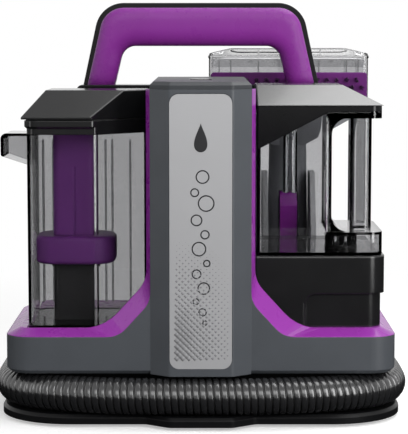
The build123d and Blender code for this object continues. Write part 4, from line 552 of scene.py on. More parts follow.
class Growth(Graph):
    """A Geometry Nodes tree with named inputs, from a seed mesh to a finished one."""

    def __init__(self, name: str, inputs: dict[str, str]) -> None:
        """Starts the tree.

        Args:
            name: Name of the tree.
            inputs: Socket type of each named input.
        """
        super().__init__(bpy.data.node_groups.new(name, "GeometryNodeTree"))
        face = self.tree.interface
        face.new_socket("Geometry", in_out="INPUT", socket_type="NodeSocketGeometry")
        for label, kind in {**inputs, "Finish": "Material"}.items():
            face.new_socket(label, in_out="INPUT", socket_type=f"NodeSocket{kind}")
        face.new_socket("Geometry", in_out="OUTPUT", socket_type="NodeSocketGeometry")
        self.given = self.add("NodeGroupInput").outputs

    def capture(self, shape: object, label: str, value: object) -> tuple[object, object]:
        """Keeps a field's value on a shape.

        Args:
            shape: The geometry's socket.
            label: Name of the kept value.
            value: The field's socket.

        Returns:
            The geometry's socket and the kept value's.
        """
        node = self.add("GeometryNodeCaptureAttribute", {"Geometry": shape})
        node.capture_items.new("FLOAT", label)
        self.tree.links.new(value, node.inputs[label])
        return node.outputs["Geometry"], node.outputs[label]

    def random(self, low: float, high: float, seed: int) -> Socket:
        """Adds a random number from low to high for each point, the same at every run."""
        node = self.add("FunctionNodeRandomValue", {2: low, 3: high, "Seed": seed}, data_type="FLOAT")
        return node.outputs[1]

    def vector(self, x: object, y: object, z: object) -> Socket:
        """Joins three numbers or sockets."""
        return self.out("ShaderNodeCombineXYZ", {0: x, 1: y, 2: z})

    def place(self) -> bpy.types.NodeOutputs:
        """Reads where each point is, as the outputs X, Y and Z."""
        place = self.out("GeometryNodeInputPosition")
        return self.add("ShaderNodeSeparateXYZ", {0: place}).outputs

    def sweep(self, line: object, radius: object, sides: int, caps: bool = True) -> Socket:
        """Sweeps a round section along a curve.

        Args:
            line: The curve's socket.
            radius: The section's radius.
            sides: How many sides it has.
            caps: Whether the ends are closed.

        Returns:
            The mesh's socket.
        """
        wires = {"Resolution": sides, "Radius": radius}
        section = self.out("GeometryNodeCurvePrimitiveCircle", wires)
        wires = {"Curve": line, "Profile Curve": section, "Fill Caps": caps}
        return self.out("GeometryNodeCurveToMesh", wires)

    def close(self, shape: object, smooth: bool = True) -> None:
        """Ends the tree: real faces with the finish.

        Args:
            shape: The geometry's socket.
            smooth: Whether the faces shade as one round surface.
        """
        real = self.out("GeometryNodeRealizeInstances", {"Geometry": shape})
        wires = {"Geometry": real, "Shade Smooth": smooth}
        shaded = self.out("GeometryNodeSetShadeSmooth", wires)
        wires = {"Geometry": shaded, "Material": self.given["Finish"]}
        dressed = self.out("GeometryNodeSetMaterial", wires)
        self.add("NodeGroupOutput", {"Geometry": dressed})

    def grow(self, name: str, seed: bpy.types.Mesh, values: dict[str, object]) -> Piece:
        """Runs the tree on a seed mesh.

        Args:
            name: Name of the piece.
            seed: Mesh that the tree starts from.
            values: Value of each named input.

        Returns:
            The piece, as a plain mesh.
        """
        carrier = link_piece(f"{name}_seed", seed)
        modifier = carrier.modifiers.new("growth", "NODES")
        modifier.node_group = self.tree
        for label, value in values.items():
            modifier[self.tree.interface.items_tree[label].identifier] = value
        grown = settled_mesh(carrier)
        bpy.data.objects.remove(carrier)
        grown.name = name
        return link_piece(name, grown)


def link_piece(name: str, shape: bpy.types.ID) -> Piece:
    """Puts a mesh or curve into the scene.

    Args:
        name: Name of the object.
        shape: Its mesh or curve.

    Returns:
        The new object.
    """
    piece = bpy.data.objects.new(name, shape)
    bpy.context.scene.collection.objects.link(piece)
    return piece


def settled_mesh(carrier: Piece) -> bpy.types.Mesh:
    """Gives what an object looks like with its modifiers.

    Args:
        carrier: The object.

    Returns:
        A plain mesh.
    """
    settled = carrier.evaluated_get(bpy.context.evaluated_depsgraph_get())
    return bpy.data.meshes.new_from_object(settled)


def seed_mesh(points: list[Point], edges: list[tuple[int, int]] | None = None) -> bpy.types.Mesh:
    """Makes a mesh of loose points.

    Args:
        points: The points, in metres.
        edges: Pairs of points that are joined.

    Returns:
        The mesh.
    """
    mesh = bpy.data.meshes.new("seed")
    mesh.from_pydata(points, edges or [], [])
    return mesh


def grow_blocks(name: str, blocks: Blocks, finish: Finish) -> Piece:
    """Sets a small block at each place of a list.

    Args:
        name: Name of the piece.
        blocks: For each block its middle and its sizes, x, y and z, in millimetres.
        finish: What it is made of.

    Returns:
        The piece.
    """
    tree = Growth(name, {})
    wires = {"Name": "size"}
    size = tree.out("GeometryNodeInputNamedAttribute", wires, data_type="FLOAT_VECTOR")
    cube = tree.out("GeometryNodeMeshCube", {"Size": (1, 1, 1)})
    wires = {"Points": tree.given["Geometry"], "Instance": cube, "Scale": size}
    tree.close(tree.out("GeometryNodeInstanceOnPoints", wires), smooth=False)
    seed = seed_mesh([tuple(part * MM for part in block[:3]) for block in blocks])
    sizes = seed.attributes.new("size", "FLOAT_VECTOR", "POINT")
    sizes.data.foreach_set("vector", [part * MM for block in blocks for part in block[3:]])
    return tree.grow(name, seed, {"Finish": finish.material()})


def flat_plate(name: str, outline: list[Pair], back: float, front: float) -> Piece:
    """Makes a plate that faces the front, from an outline in x and z.

    Args:
        name: Name of the piece.
        outline: The outline's points, anticlockwise as seen from the front.
        back: y of its back.
        front: y of its front.

    Returns:
        The plate.
    """
    shape = bmesh.new()
    face = shape.faces.new([shape.verts.new((x, back, z)) for x, z in outline])
    raised = bmesh.ops.extrude_face_region(shape, geom=[face])["geom"]
    corners = [item for item in raised if isinstance(item, bmesh.types.BMVert)]
    bmesh.ops.translate(shape, verts=corners, vec=(0, front - back, 0))
    bmesh.ops.recalc_face_normals(shape, faces=shape.faces)
    mesh = bpy.data.meshes.new(name)
    shape.to_mesh(mesh)
    shape.free()
    return link_piece(name, mesh)


def loft(name: str, rings: list[list[Point]]) -> Piece:
    """Makes a closed skin over rings of points, the last ring joined to the first.

    Args:
        name: Name of the piece.
        rings: Rings with as many points each, in metres.

    Returns:
        The piece.
    """
    count = len(rings[0])
    faces = []
    for first in range(len(rings)):
        after = (first + 1) % len(rings)
        for spot in range(count):
            turn = (spot + 1) % count
            pairs = ((first, spot), (first, turn), (after, turn), (after, spot))
            faces.append([ring * count + place for ring, place in pairs])
    mesh = bpy.data.meshes.new(name)
    mesh.from_pydata([point for ring in rings for point in ring], [], faces)
    shape = bmesh.new()
    shape.from_mesh(mesh)
    bmesh.ops.recalc_face_normals(shape, faces=shape.faces)
    shape.to_mesh(mesh)
    shape.free()
    return link_piece(name, mesh)


def smooth_by_angle(piece: Piece, sharp: float = 35.0) -> None:
    """Shades a piece smooth, except over its sharp edges.

    Args:
        piece: The piece.
        sharp: Angle in degrees from which an edge stays sharp.
    """
    piece.data.shade_smooth()
    piece.data.set_sharp_from_angle(angle=math.radians(sharp))


def round_edges(piece: Piece, radius: float) -> None:
    """Bevels a piece's sharp edges for good.

    Args:
        piece: The piece.
        radius: Width of the bevel.
    """
    bevel = piece.modifiers.new("edges", "BEVEL")
    bevel.width = radius
    bevel.segments = BEVEL_SEGMENTS
    bevel.limit_method = "ANGLE"
    rounded = settled_mesh(piece)
    piece.modifiers.clear()
    piece.data = rounded


def rounded_outline(low: Pair, high: Pair, radius: float) -> list[Pair]:
    """Gives a rectangle's outline with round corners.

    Args:
        low: Lowest x and z.
        high: Highest x and z.
        radius: Corner radius.

    Returns:
        The outline's points.
    """
    corners = ((high[0], low[1], -90), (*high, 0), (low[0], high[1], 90), (*low, 180))
    points = []
    for x, z, start in corners:
        cx = x - math.copysign(radius, x - (low[0] + high[0]) / 2)
        cz = z - math.copysign(radius, z - (low[1] + high[1]) / 2)
        for step in range(CORNER_STEPS + 1):
            angle = math.radians(start + 90 * step / CORNER_STEPS)
            points.append((cx + radius * math.cos(angle), cz + radius * math.sin(angle)))
    return points


@dataclass
class SubAssembly:
    """A group of CAD nodes with the finish of each."""

    finishes: dict[str, Finish] = field(default_factory=dict)

    def dress(self) -> None:
        """Gives each CAD node of the group its finish."""
        for node, finish in self.finishes.items():
            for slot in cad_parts[node].material_slots:
                slot.material = finish.material()
            LOG.info("dressed %s in %s", node, finish.name)

    def settle(
        self, piece: Piece, slot: str, replaced: tuple[str, ...] = (), body: str = MACHINE
    ) -> None:
        """Ties a new piece to a body of the machine.

        Args:
            piece: The piece.
            slot: Material slot of the record; not used.
            replaced: CAD nodes that it stands for.
            body: Body that it moves with.
        """
        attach(piece, body)
        if replaced:
            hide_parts(*replaced)
        LOG.info("built %s with %d faces", piece.name, len(piece.data.polygons))

    def build(self) -> None:
        """Builds the pieces that the CAD nodes lack."""


@dataclass(frozen=True)
class CoilSpring:
    """A compression spring wound from its start to its end, sized in millimetres."""

    name: str
    node: str
    body: str
    joint: str
    start: Point
    end: Point
    radius: float
    wire: float
    travel: float
    stop_gap: float = 0.1
    turns: float = 4.0
    turn_steps: int = 28
    sides: int = 8

    def winding(self) -> Growth:
        """Builds the tree that winds the wire round the way from its seed point.

        Returns:
            The tree.
        """
        kinds = dict.fromkeys(("Radius", "Wire", "Rise", "Turns"), "Float")
        tree = Growth(self.name, kinds | {"Way": "Vector"})
        given = tree.given
        wires = {"Resolution": self.turn_steps, "Rotations": given["Turns"], "Height": given["Rise"]}
        wires |= {"Start Radius": given["Radius"], "End Radius": given["Radius"]}
        wound = tree.sweep(tree.out("GeometryNodeCurveSpiral", wires), given["Wire"], self.sides)
        turned = tree.out("FunctionNodeAlignRotationToVector", {"Vector": given["Way"]}, axis="Z")
        wires = {"Points": given["Geometry"], "Instance": wound, "Rotation": turned}
        tree.close(tree.out("GeometryNodeInstanceOnPoints", wires))
        return tree

    def build(self, group: SubAssembly, finish: Finish, slot: str) -> None:
        """Winds the spring and ties it to its body.

        Args:
            group: The group that it belongs to.
            finish: What it is made of.
            slot: Material slot of the record, handed on to the group's settle.
        """
        first, last = Vector(self.start), Vector(self.end)
        way = (last - first).normalized()
        length = (last - first).length
        values = {"Radius": self.radius * MM, "Wire": self.wire * MM, "Turns": self.turns}
        values |= {"Rise": (length - 2 * self.wire) * MM, "Way": tuple(way), "Finish": finish.material()}
        seed = seed_mesh([tuple((first + way * self.wire) * MM)])
        spring = self.winding().grow(self.name, seed, values)
        group.settle(spring, slot, (self.node,), self.body)
        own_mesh(spring)


@dataclass
class SuctionHose(SubAssembly):
    """Ribbed suction hose from its port round the waist and up to the hand tool."""

    radius: float = 15.5 * MM
    depth: float = 2.3 * MM
    pitch: float = 5.9 * MM
    steps: int = 10
    sides: int = 36
    length: float = 1000.0 * MM
    level: float = 26.8
    line_order: int = 3
    line_steps: int = 24
    groove_start: float = 0.66
    crown: float = 0.2
    route: Blocks = (
        (70, 70), (129, 70), (164, 35), (165, -15), (164, -64.5), (138, -97), (61, -115.5),
        (-61, -115.5), (-138, -97), (-164, -64.5), (-165, -1), (-164, 63), (-120, 106), (-35, 109),
        (49, 107), (82.5, 107, 60), (82.5, 107, 112),
    )

    def points(self) -> list[Point]:
        """Gives the route's control points in metres."""
        return [tuple(part * MM for part in (*place, self.level)[:3]) for place in self.route]

    def centreline(self) -> list[Point]:
        """Reads the hose's line from a smooth spline along its route.

        Returns:
            Points close together along the line.
        """
        curve = bpy.data.curves.new("hose_line", "CURVE")
        curve.dimensions = "3D"
        spline = curve.splines.new("NURBS")
        points = self.points()
        spline.points.add(len(points) - 1)
        for place, point in zip(spline.points, points):
            place.co = (*point, 1)
        spline.order_u = self.line_order
        spline.use_endpoint_u = True
        curve.resolution_u = self.line_steps
        carrier = link_piece("hose_line", curve)
        found = [tuple(vertex.co) for vertex in settled_mesh(carrier).vertices]
        bpy.data.objects.remove(carrier)
        return found

    def ribs(self) -> Growth:
        """Builds the tree that sweeps the hose with its helical groove.

        Returns:
            The tree.
        """
        kinds = dict.fromkeys(("Radius", "Depth", "Pitch"), "Float")
        tree = Growth("hose_ribs", kinds | {"Steps": "Int", "Sides": "Int"})
        given = tree.given
        line = tree.out("GeometryNodeMeshToCurve", {"Mesh": given["Geometry"]})
        step = tree.math("DIVIDE", given["Pitch"], given["Steps"])
        wires = {"Curve": line, "Length": step}
        even = tree.out("GeometryNodeResampleCurve", wires, mode="LENGTH")
        spot = tree.add("GeometryNodeSplineParameter").outputs
        run, along = tree.capture(even, "along", spot["Length"])
        wires = {"Resolution": given["Sides"], "Radius": given["Radius"]}
        circle = tree.out("GeometryNodeCurvePrimitiveCircle", wires)
        ring, around = tree.capture(circle, "around", spot["Factor"])
        wires = {"Curve": run, "Profile Curve": ring, "Fill Caps": True}
        tube = tree.out("GeometryNodeCurveToMesh", wires)
        turns = tree.math("SUBTRACT", tree.math("DIVIDE", along, given["Pitch"]), around)
        swing = tree.math("MULTIPLY_ADD", tree.math("FRACT", turns), 2.0, -1.0)
        far = tree.math("ABSOLUTE", swing)
        groove = tree.ramp(far, self.groove_start, 1.0, 0.0, 1.0)
        crown = tree.math("MULTIPLY", tree.math("POWER", far, 2.0), self.crown)
        sink = tree.math("MULTIPLY", tree.math("MAXIMUM", groove, crown), given["Depth"])
        normal = tree.out("GeometryNodeInputNormal")
        wires = {0: normal, 3: tree.math("MULTIPLY", sink, -1.0)}
        inward = tree.out("ShaderNodeVectorMath", wires, operation="SCALE")
        shaped = tree.out("GeometryNodeSetPosition", {"Geometry": tube, "Offset": inward})
        wires = {"Geometry": shaped, "Name": "groove", "Value": groove}
        tree.close(tree.out("GeometryNodeStoreNamedAttribute", wires, data_type="FLOAT"))
        return tree

    def build(self) -> None:
        line = self.centreline()
        seed = seed_mesh(line, [(spot, spot + 1) for spot in range(len(line) - 1)])
        values = {"Radius": self.radius, "Depth": self.depth, "Pitch": self.pitch}
        values |= {"Steps": self.steps, "Sides": self.sides, "Finish": HOSE_BLACK.material()}
        hose = self.ribs().grow("suction_hose", seed, values)
        self.settle(hose, "hose_black", ("hose",))


@dataclass
class LabelPanel(SubAssembly):
    """Silver label with a plain print: a drop, rising bubbles and fading diamonds."""

    front: float = -119.4 * MM
    ink: float = 0.12 * MM
    half_width: float = 22.5
    diamond_low: float = 60.0
    diamond_high: float = 176.0
    diamond_pitch: float = 5.0
    diamond_size: float = 2.1
    least_size: float = 0.25
    fade_power: float = 0.8
    fade_reach: float = 1.6
    fade_least: float = 0.25
    drop_middle: Pair = (0.0, 246.0)
    drop_radius: float = 8.0
    drop_height: float = 1.5
    drop_sink: float = 0.2
    drop_pinch: float = 1.6
    drop_steps: int = 48
    ring_line: float = 0.55 * MM
    ring_steps: int = 40
    ring_sides: int = 6
    bubbles: Blocks = (
        (1.5, 212, 5.2), (-5, 199, 3.2), (4.5, 190, 6.4), (-3.5, 176, 4.4), (3.5, 164, 3.4),
        (-1.5, 152, 5.6), (5.0, 140, 2.6), (-3.5, 131, 3.6), (2.5, 119, 4.8), (-4.0, 108, 2.4),
        (1.5, 99, 3.0), (3.5, 90, 1.8),
    )

    def diamonds(self) -> Growth:
        """Builds the tree that prints a lattice of diamonds, large at one corner and fading away.

        Returns:
            The tree.
        """
        tree = Growth("fading_diamonds", dict.fromkeys(("Size", "Least", "Ink"), "Float"))
        given, place, half = tree.given, tree.place(), self.half_width
        rise = tree.ramp(place["Z"], self.diamond_low * MM, self.diamond_high * MM, 1.0, 0.0)
        lean = tree.ramp(place["X"], -half * MM, half * self.fade_reach * MM, 1.0, 0.0)
        lean = tree.math("ADD", lean, self.fade_least)
        fade = tree.math("MULTIPLY", tree.math("POWER", rise, self.fade_power), lean)
        radius = tree.math("MULTIPLY", fade, given["Size"])
        small = tree.math("LESS_THAN", radius, given["Least"])
        wires = {"Geometry": given["Geometry"], "Selection": small}
        kept = tree.out("GeometryNodeDeleteGeometry", wires, domain="POINT")
        wires = {"Vertices": 4, "Radius": 1.0}
        square = tree.out("GeometryNodeMeshCircle", wires, fill_type="NGON")
        wires = {"Points": kept, "Instance": square, "Rotation": FRONT_FACING, "Scale": radius}
        laid = tree.out("GeometryNodeInstanceOnPoints", wires)
        real = tree.out("GeometryNodeRealizeInstances", {"Geometry": laid})
        wires = {"Mesh": real, "Offset Scale": given["Ink"], "Individual": True}
        tree.close(tree.out("GeometryNodeExtrudeMesh", wires, mode="FACES"))
        return tree

    def rings(self) -> Growth:
        """Builds the tree that prints a flat ring at each bubble.

        Returns:
            The tree.
        """
        tree = Growth("bubble_rings", {"Line": "Float", "Ink": "Float"})
        given = tree.given
        size = tree.out("GeometryNodeInputNamedAttribute", {"Name": "size"}, data_type="FLOAT")
        circle = tree.out("GeometryNodeMeshCircle", {"Vertices": self.ring_steps, "Radius": 1.0})
        wires = {"Points": given["Geometry"], "Instance": circle, "Rotation": FRONT_FACING, "Scale": size}
        laid = tree.out("GeometryNodeInstanceOnPoints", wires)
        real = tree.out("GeometryNodeRealizeInstances", {"Geometry": laid})
        line = tree.out("GeometryNodeMeshToCurve", {"Mesh": real})
        drawn = tree.sweep(line, given["Line"], self.ring_sides, caps=False)
        place = tree.place()
        away = tree.math("SUBTRACT", place["Y"], self.front)
        flatter = tree.math("DIVIDE", given["Ink"], given["Line"])
        flat = tree.math("MULTIPLY_ADD", away, flatter, self.front)
        wires = {"Geometry": drawn, "Position": tree.vector(place["X"], flat, place["Z"])}
        tree.close(tree.out("GeometryNodeSetPosition", wires))
        return tree

    def lattice(self) -> list[Point]:
        """Gives the staggered places of the diamonds.

        Returns:
            Points on the label's face.
        """
        places = []
        rows = int((self.diamond_high - self.diamond_low) / (self.diamond_pitch / 2))
        columns = int(self.half_width / self.diamond_pitch)
        for row in range(rows + 1):
            shift = (row % 2) * self.diamond_pitch / 2
            for column in range(-columns, columns + 1):
                x = column * self.diamond_pitch + shift
                if abs(x) <= self.half_width:
                    z = self.diamond_low + row * self.diamond_pitch / 2
                    places.append((x * MM, self.front, z * MM))
        return places

    def drop(self) -> list[Pair]:
        """Gives the outline of a plain water drop.

        Returns:
            The outline's points.
        """
        middle_x, middle_z = self.drop_middle
        outline = []
        for step in range(self.drop_steps):
            angle = 2 * math.pi * step / self.drop_steps
            narrow = math.sin(angle / 2) ** self.drop_pinch
            x = middle_x - self.drop_radius * math.sin(angle) * narrow
            z = middle_z + self.drop_radius * (self.drop_height * math.cos(angle) - self.drop_sink)
            outline.append((x * MM, z * MM))
        return outline

    def build(self) -> None:
        """Builds the three prints."""
        values = {"Size": self.diamond_size * MM, "Least": self.least_size * MM, "Ink": self.ink}
        values["Finish"] = PRINT_GREY.material()
        diamonds = self.diamonds().grow("label_diamonds", seed_mesh(self.lattice()), values)
        self.settle(diamonds, "label_silver")
        seed = seed_mesh([(x * MM, self.front, z * MM) for x, z, _ in self.bubbles])
        sizes = seed.attributes.new("size", "FLOAT", "POINT")
        sizes.data.foreach_set("value", [radius * MM for _, _, radius in self.bubbles])
        values = {"Line": self.ring_line, "Ink": self.ink, "Finish": PRINT_DARK.material()}
        self.settle(self.rings().grow("label_bubbles", seed, values), "label_silver")
        drop = flat_plate("label_drop", self.drop(), self.front + self.ink, self.front - self.ink)
        drop.data.materials.append(PRINT_DARK.material())
        self.settle(drop, "label_silver")


@dataclass
class HandTool(SubAssembly):
    """Docked hand tool: clear nozzle, brush plate with bristles, grip and trigger."""

    plate_low: Pair = (9.0, 262.0)
    plate_high: Pair = (156.0, 293.8)
    plate_back: float = 91.7
    plate_front: float = 86.0
    plate_round: float = 3.0
    plate_edge: float = 0.8
    columns: int = 15
    rows: int = 4
    pitch: float = 9.4
    row_pitch: float = 6.9
    edge: float = 7.0
    root_depth: float = 0.4
    spread: float = 1.9
    bristles: int = 26
    bristle_length: float = 9.0
    bristle_radius: float = 0.22
    bristle_sides: int = 5
    lean: float = 0.13
    draw: int = 7
    hood_low: Pair = (6.5, 91.0)
    hood_high: Pair = (158.5, 123.0)
    hood_round: float = 6.0
    hood_fill: tuple[int, ...] = (4, 24, 4, 24)
    hood_skin: tuple[Pair, ...] = (
        (0.7, 258.0), (0.7, 306.8), (0.1, 307.3), (0.0, 308.2), (0.1, 309.1), (0.7, 309.6), (1.2, 314.6),
        (1.7, 315.9), (2.4, 316.3), (3.1, 315.9), (3.4, 314.8), (2.9, 309.0), (2.9, 262.0),
    )
    shoulder: float = 4.6
    shoulder_start: float = 54.0
    shoulder_run: float = 20.0
    shoulder_level: float = 309.6
    throat: float = 11.0
    rib_places: tuple[float, ...] = (17, 28, 54, 111, 137, 148)
    rib: tuple[float, ...] = (107, 284, 1.2, 26.0, 42)
    details: Blocks = (
        (54, 92.1, 312.6, 1.4, 1.0, 5.6), (112, 92.1, 312.6, 1.4, 1.0, 5.6),
        (83, 92.1, 310.3, 56.5, 1.0, 1.0), (82.5, 108, 302.6, 145.6, 3.0, 8.0),
        (46.8, 91.5, 304.1, 4.2, 0.9, 1.8), (122.3, 91.5, 304.1, 4.2, 0.9, 1.8),
    )
    spring: CoilSpring = CoilSpring(
        "trigger_coil", "trigger_spring", MACHINE, "trigger_pull", (82.5, 92.11, 138.0),
        (82.5, 102.89, 138.0), radius=2.6, wire=0.5, travel=6.0,
    )

    def roots(self) -> list[Point]:
        """Gives the middle of each tuft on the plate's front.

        Returns:
            The places in metres.
        """
        middle = (self.plate_low[0] + self.plate_high[0]) / 2
        places = []
        for row in range(self.rows):
            z = self.plate_high[1] - self.edge - row * self.row_pitch
            shift = (row % 2 - 0.5) * self.pitch / 2
            for column in range(self.columns):
                x = middle + (column - (self.columns - 1) / 2) * self.pitch + shift
                places.append((x * MM, (self.plate_front + self.root_depth) * MM, z * MM))
        return places

    def tufts(self) -> Growth:
        """Builds the tree that sets bristles in each tuft.

        Returns:
            The tree.
        """
        kinds = dict.fromkeys(("Spread", "Length", "Radius", "Lean"), "Float")
        tree = Growth("brush_tufts", kinds | {"Bristles": "Int"})
        given = tree.given
        wires = {"Geometry": given["Geometry"], "Amount": given["Bristles"]}
        many = tree.out("GeometryNodeDuplicateElements", wires, domain="POINT")
        turn = tree.random(0.0, 2 * math.pi, self.draw)
        share = tree.math("SQRT", tree.random(0.0, 1.0, self.draw + 1))
        out = tree.math("MULTIPLY", share, given["Spread"])
        side = tree.math("MULTIPLY", out, tree.math("COSINE", turn))
        rise = tree.math("MULTIPLY", out, tree.math("SINE", turn))
        wires = {"Geometry": many, "Offset": tree.vector(side, 0.0, rise)}
        spread = tree.out("GeometryNodeSetPosition", wires)
        tip = tree.vector(0.0, tree.math("MULTIPLY", given["Length"], -1.0), 0.0)
        line = tree.out("GeometryNodeCurvePrimitiveLine", {"Start": (0, 0, 0), "End": tip})
        bristle = tree.sweep(line, given["Radius"], self.bristle_sides)
        nod = tree.math("MULTIPLY", tree.random(-1.0, 1.0, self.draw + 2), given["Lean"])
        sway = tree.math("MULTIPLY", tree.random(-1.0, 1.0, self.draw + 3), given["Lean"])
        wires = {"Points": spread, "Instance": bristle, "Rotation": tree.vector(nod, 0.0, sway)}
        tree.close(tree.out("GeometryNodeInstanceOnPoints", wires))
        return tree

    def hood_ring(self, inset: float, level: float) -> list[Point]:
        """Gives one ring of the clear hood, with its shoulders falling away at both ends.

        Args:
            inset: How far inside the outline.
            level: Its height in the middle.

        Returns:
            The ring's points.
        """
        low = tuple(part + inset for part in self.hood_low)
        high = tuple(part - inset for part in self.hood_high)
        corners = rounded_outline(low, high, self.hood_round - inset)
        size = len(corners) // len(self.hood_fill)
        middle = (low[0] + high[0]) / 2
        lip = max(height for _, height in self.hood_skin)
        rise = max(0.0, (level - self.shoulder_level) / (lip - self.shoulder_level))
        ring = []
        for side, fill in enumerate(self.hood_fill):
            corner = corners[side * size:(side + 1) * size]
            last = Vector(corner[-1])
            after = Vector(corners[(side + 1) * size % len(corners)])
            between = [last.lerp(after, step / (fill + 1)) for step in range(1, fill + 1)]
            for x, y in [*corner, *between]:
                past = (abs(x - middle) - self.shoulder_start) / self.shoulder_run
                share = min(1.0, max(0.0, past))
                ring.append((x * MM, y * MM, (level - self.shoulder * share * rise) * MM))
        return ring

    def hood(self) -> Piece:
        """Builds the clear hood: outer skin, bead, lip, inner skin and the throat in its floor.

        Returns:
            The hood.
        """
        rings = [self.hood_ring(inset, level) for inset, level in self.hood_skin]
        middle = Vector([(low + high) / 2 for low, high in zip(self.hood_low, self.hood_high)])
        for level in (self.hood_skin[-1][1], self.hood_skin[0][1]):
            throat = []
            for x, y, _ in rings[0]:
                spot = middle + (Vector((x / MM, y / MM)) - middle).normalized() * self.throat
                throat.append((spot.x * MM, spot.y * MM, level * MM))
            rings.append(throat)
        return loft("nozzle_hood", rings)

    def build(self) -> None:
        """Builds the clear hood with its ribs, the brush with its bristles, and the trigger's spring."""
        hood = self.hood()
        smooth_by_angle(hood)
        hood.data.materials.append(NOZZLE_CLEAR.material())
        self.settle(hood, "nozzle_clear", ("tool_nozzle",))
        ribs = (*((x, *self.rib) for x in self.rib_places), *self.details)
        self.settle(grow_blocks("nozzle_ribs", ribs, NOZZLE_CLEAR), "nozzle_clear")
        outline = rounded_outline(self.plate_low, self.plate_high, self.plate_round)
        outline = [(x * MM, z * MM) for x, z in outline]
        plate = flat_plate("brush_plate", outline, self.plate_back * MM, self.plate_front * MM)
        round_edges(plate, self.plate_edge * MM)
        plate.data.materials.append(BRUSH_PURPLE_PAINTED_SHADE.material())
        self.settle(plate, "purple_gloss", ("tool_brush",))
        values = {"Bristles": self.bristles, "Spread": self.spread * MM, "Lean": self.lean}
        values |= {"Length": self.bristle_length * MM, "Radius": self.bristle_radius * MM}
        values["Finish"] = BRISTLE_DARK.material()
        bristles = self.tufts().grow("brush_bristles", seed_mesh(self.roots()), values)
        self.settle(bristles, "purple_gloss")
        self.spring.build(self, SCREW_STEEL, "screw_steel")


@dataclass
class DirtyTank(SubAssembly):
    """Dirty water tank with the ribs that stiffen its back wall."""

    rib_places: tuple[float, ...] = (-141, -132, -86, -80, -64)
    rib: tuple[float, ...] = (-0.4, 163, 1.6, 5.0, 146)

    def build(self) -> None:
        """Builds the ribs."""
        ribs = grow_blocks("dirty_tank_ribs", tuple((x, *self.rib) for x in self.rib_places), TANK_SMOKE)
        self.settle(ribs, "tank_smoke", body="dirty_tank_body")


@dataclass
class CleanTank(SubAssembly):
    """Clean water tank with the rib in its hand bar and the spring of its outlet valve."""

    bar_rib: tuple[float, ...] = (138.6, -43.9, 212, 9.2, 5.2, 92)
    spring: CoilSpring = CoilSpring(
        "valve_coil", "valve_spring", "clean_tank_body", "valve_lift", (121.0, -56.0, 150.7),
        (121.0, -56.0, 156.7), radius=3.6, wire=0.3, travel=2.0,
    )

    def build(self) -> None:
        """Builds the hand bar's rib and the valve's spring."""
        rib = grow_blocks("hand_bar_rib", (self.bar_rib,), TANK_CLEAR)
        self.settle(rib, "tank_smoke", body="clean_tank_body")
        self.spring.build(self, SCREW_STEEL, "screw_steel")


@dataclass(frozen=True)
class SoftBox:
    """A soft lamp with its middle, what it points at, its width and height and its brightness.

    The brightness is that of its face, with white paper in plain light as 1.
    """

    name: str
    place: Point
    target: Point
    size: Pair
    radiance: float


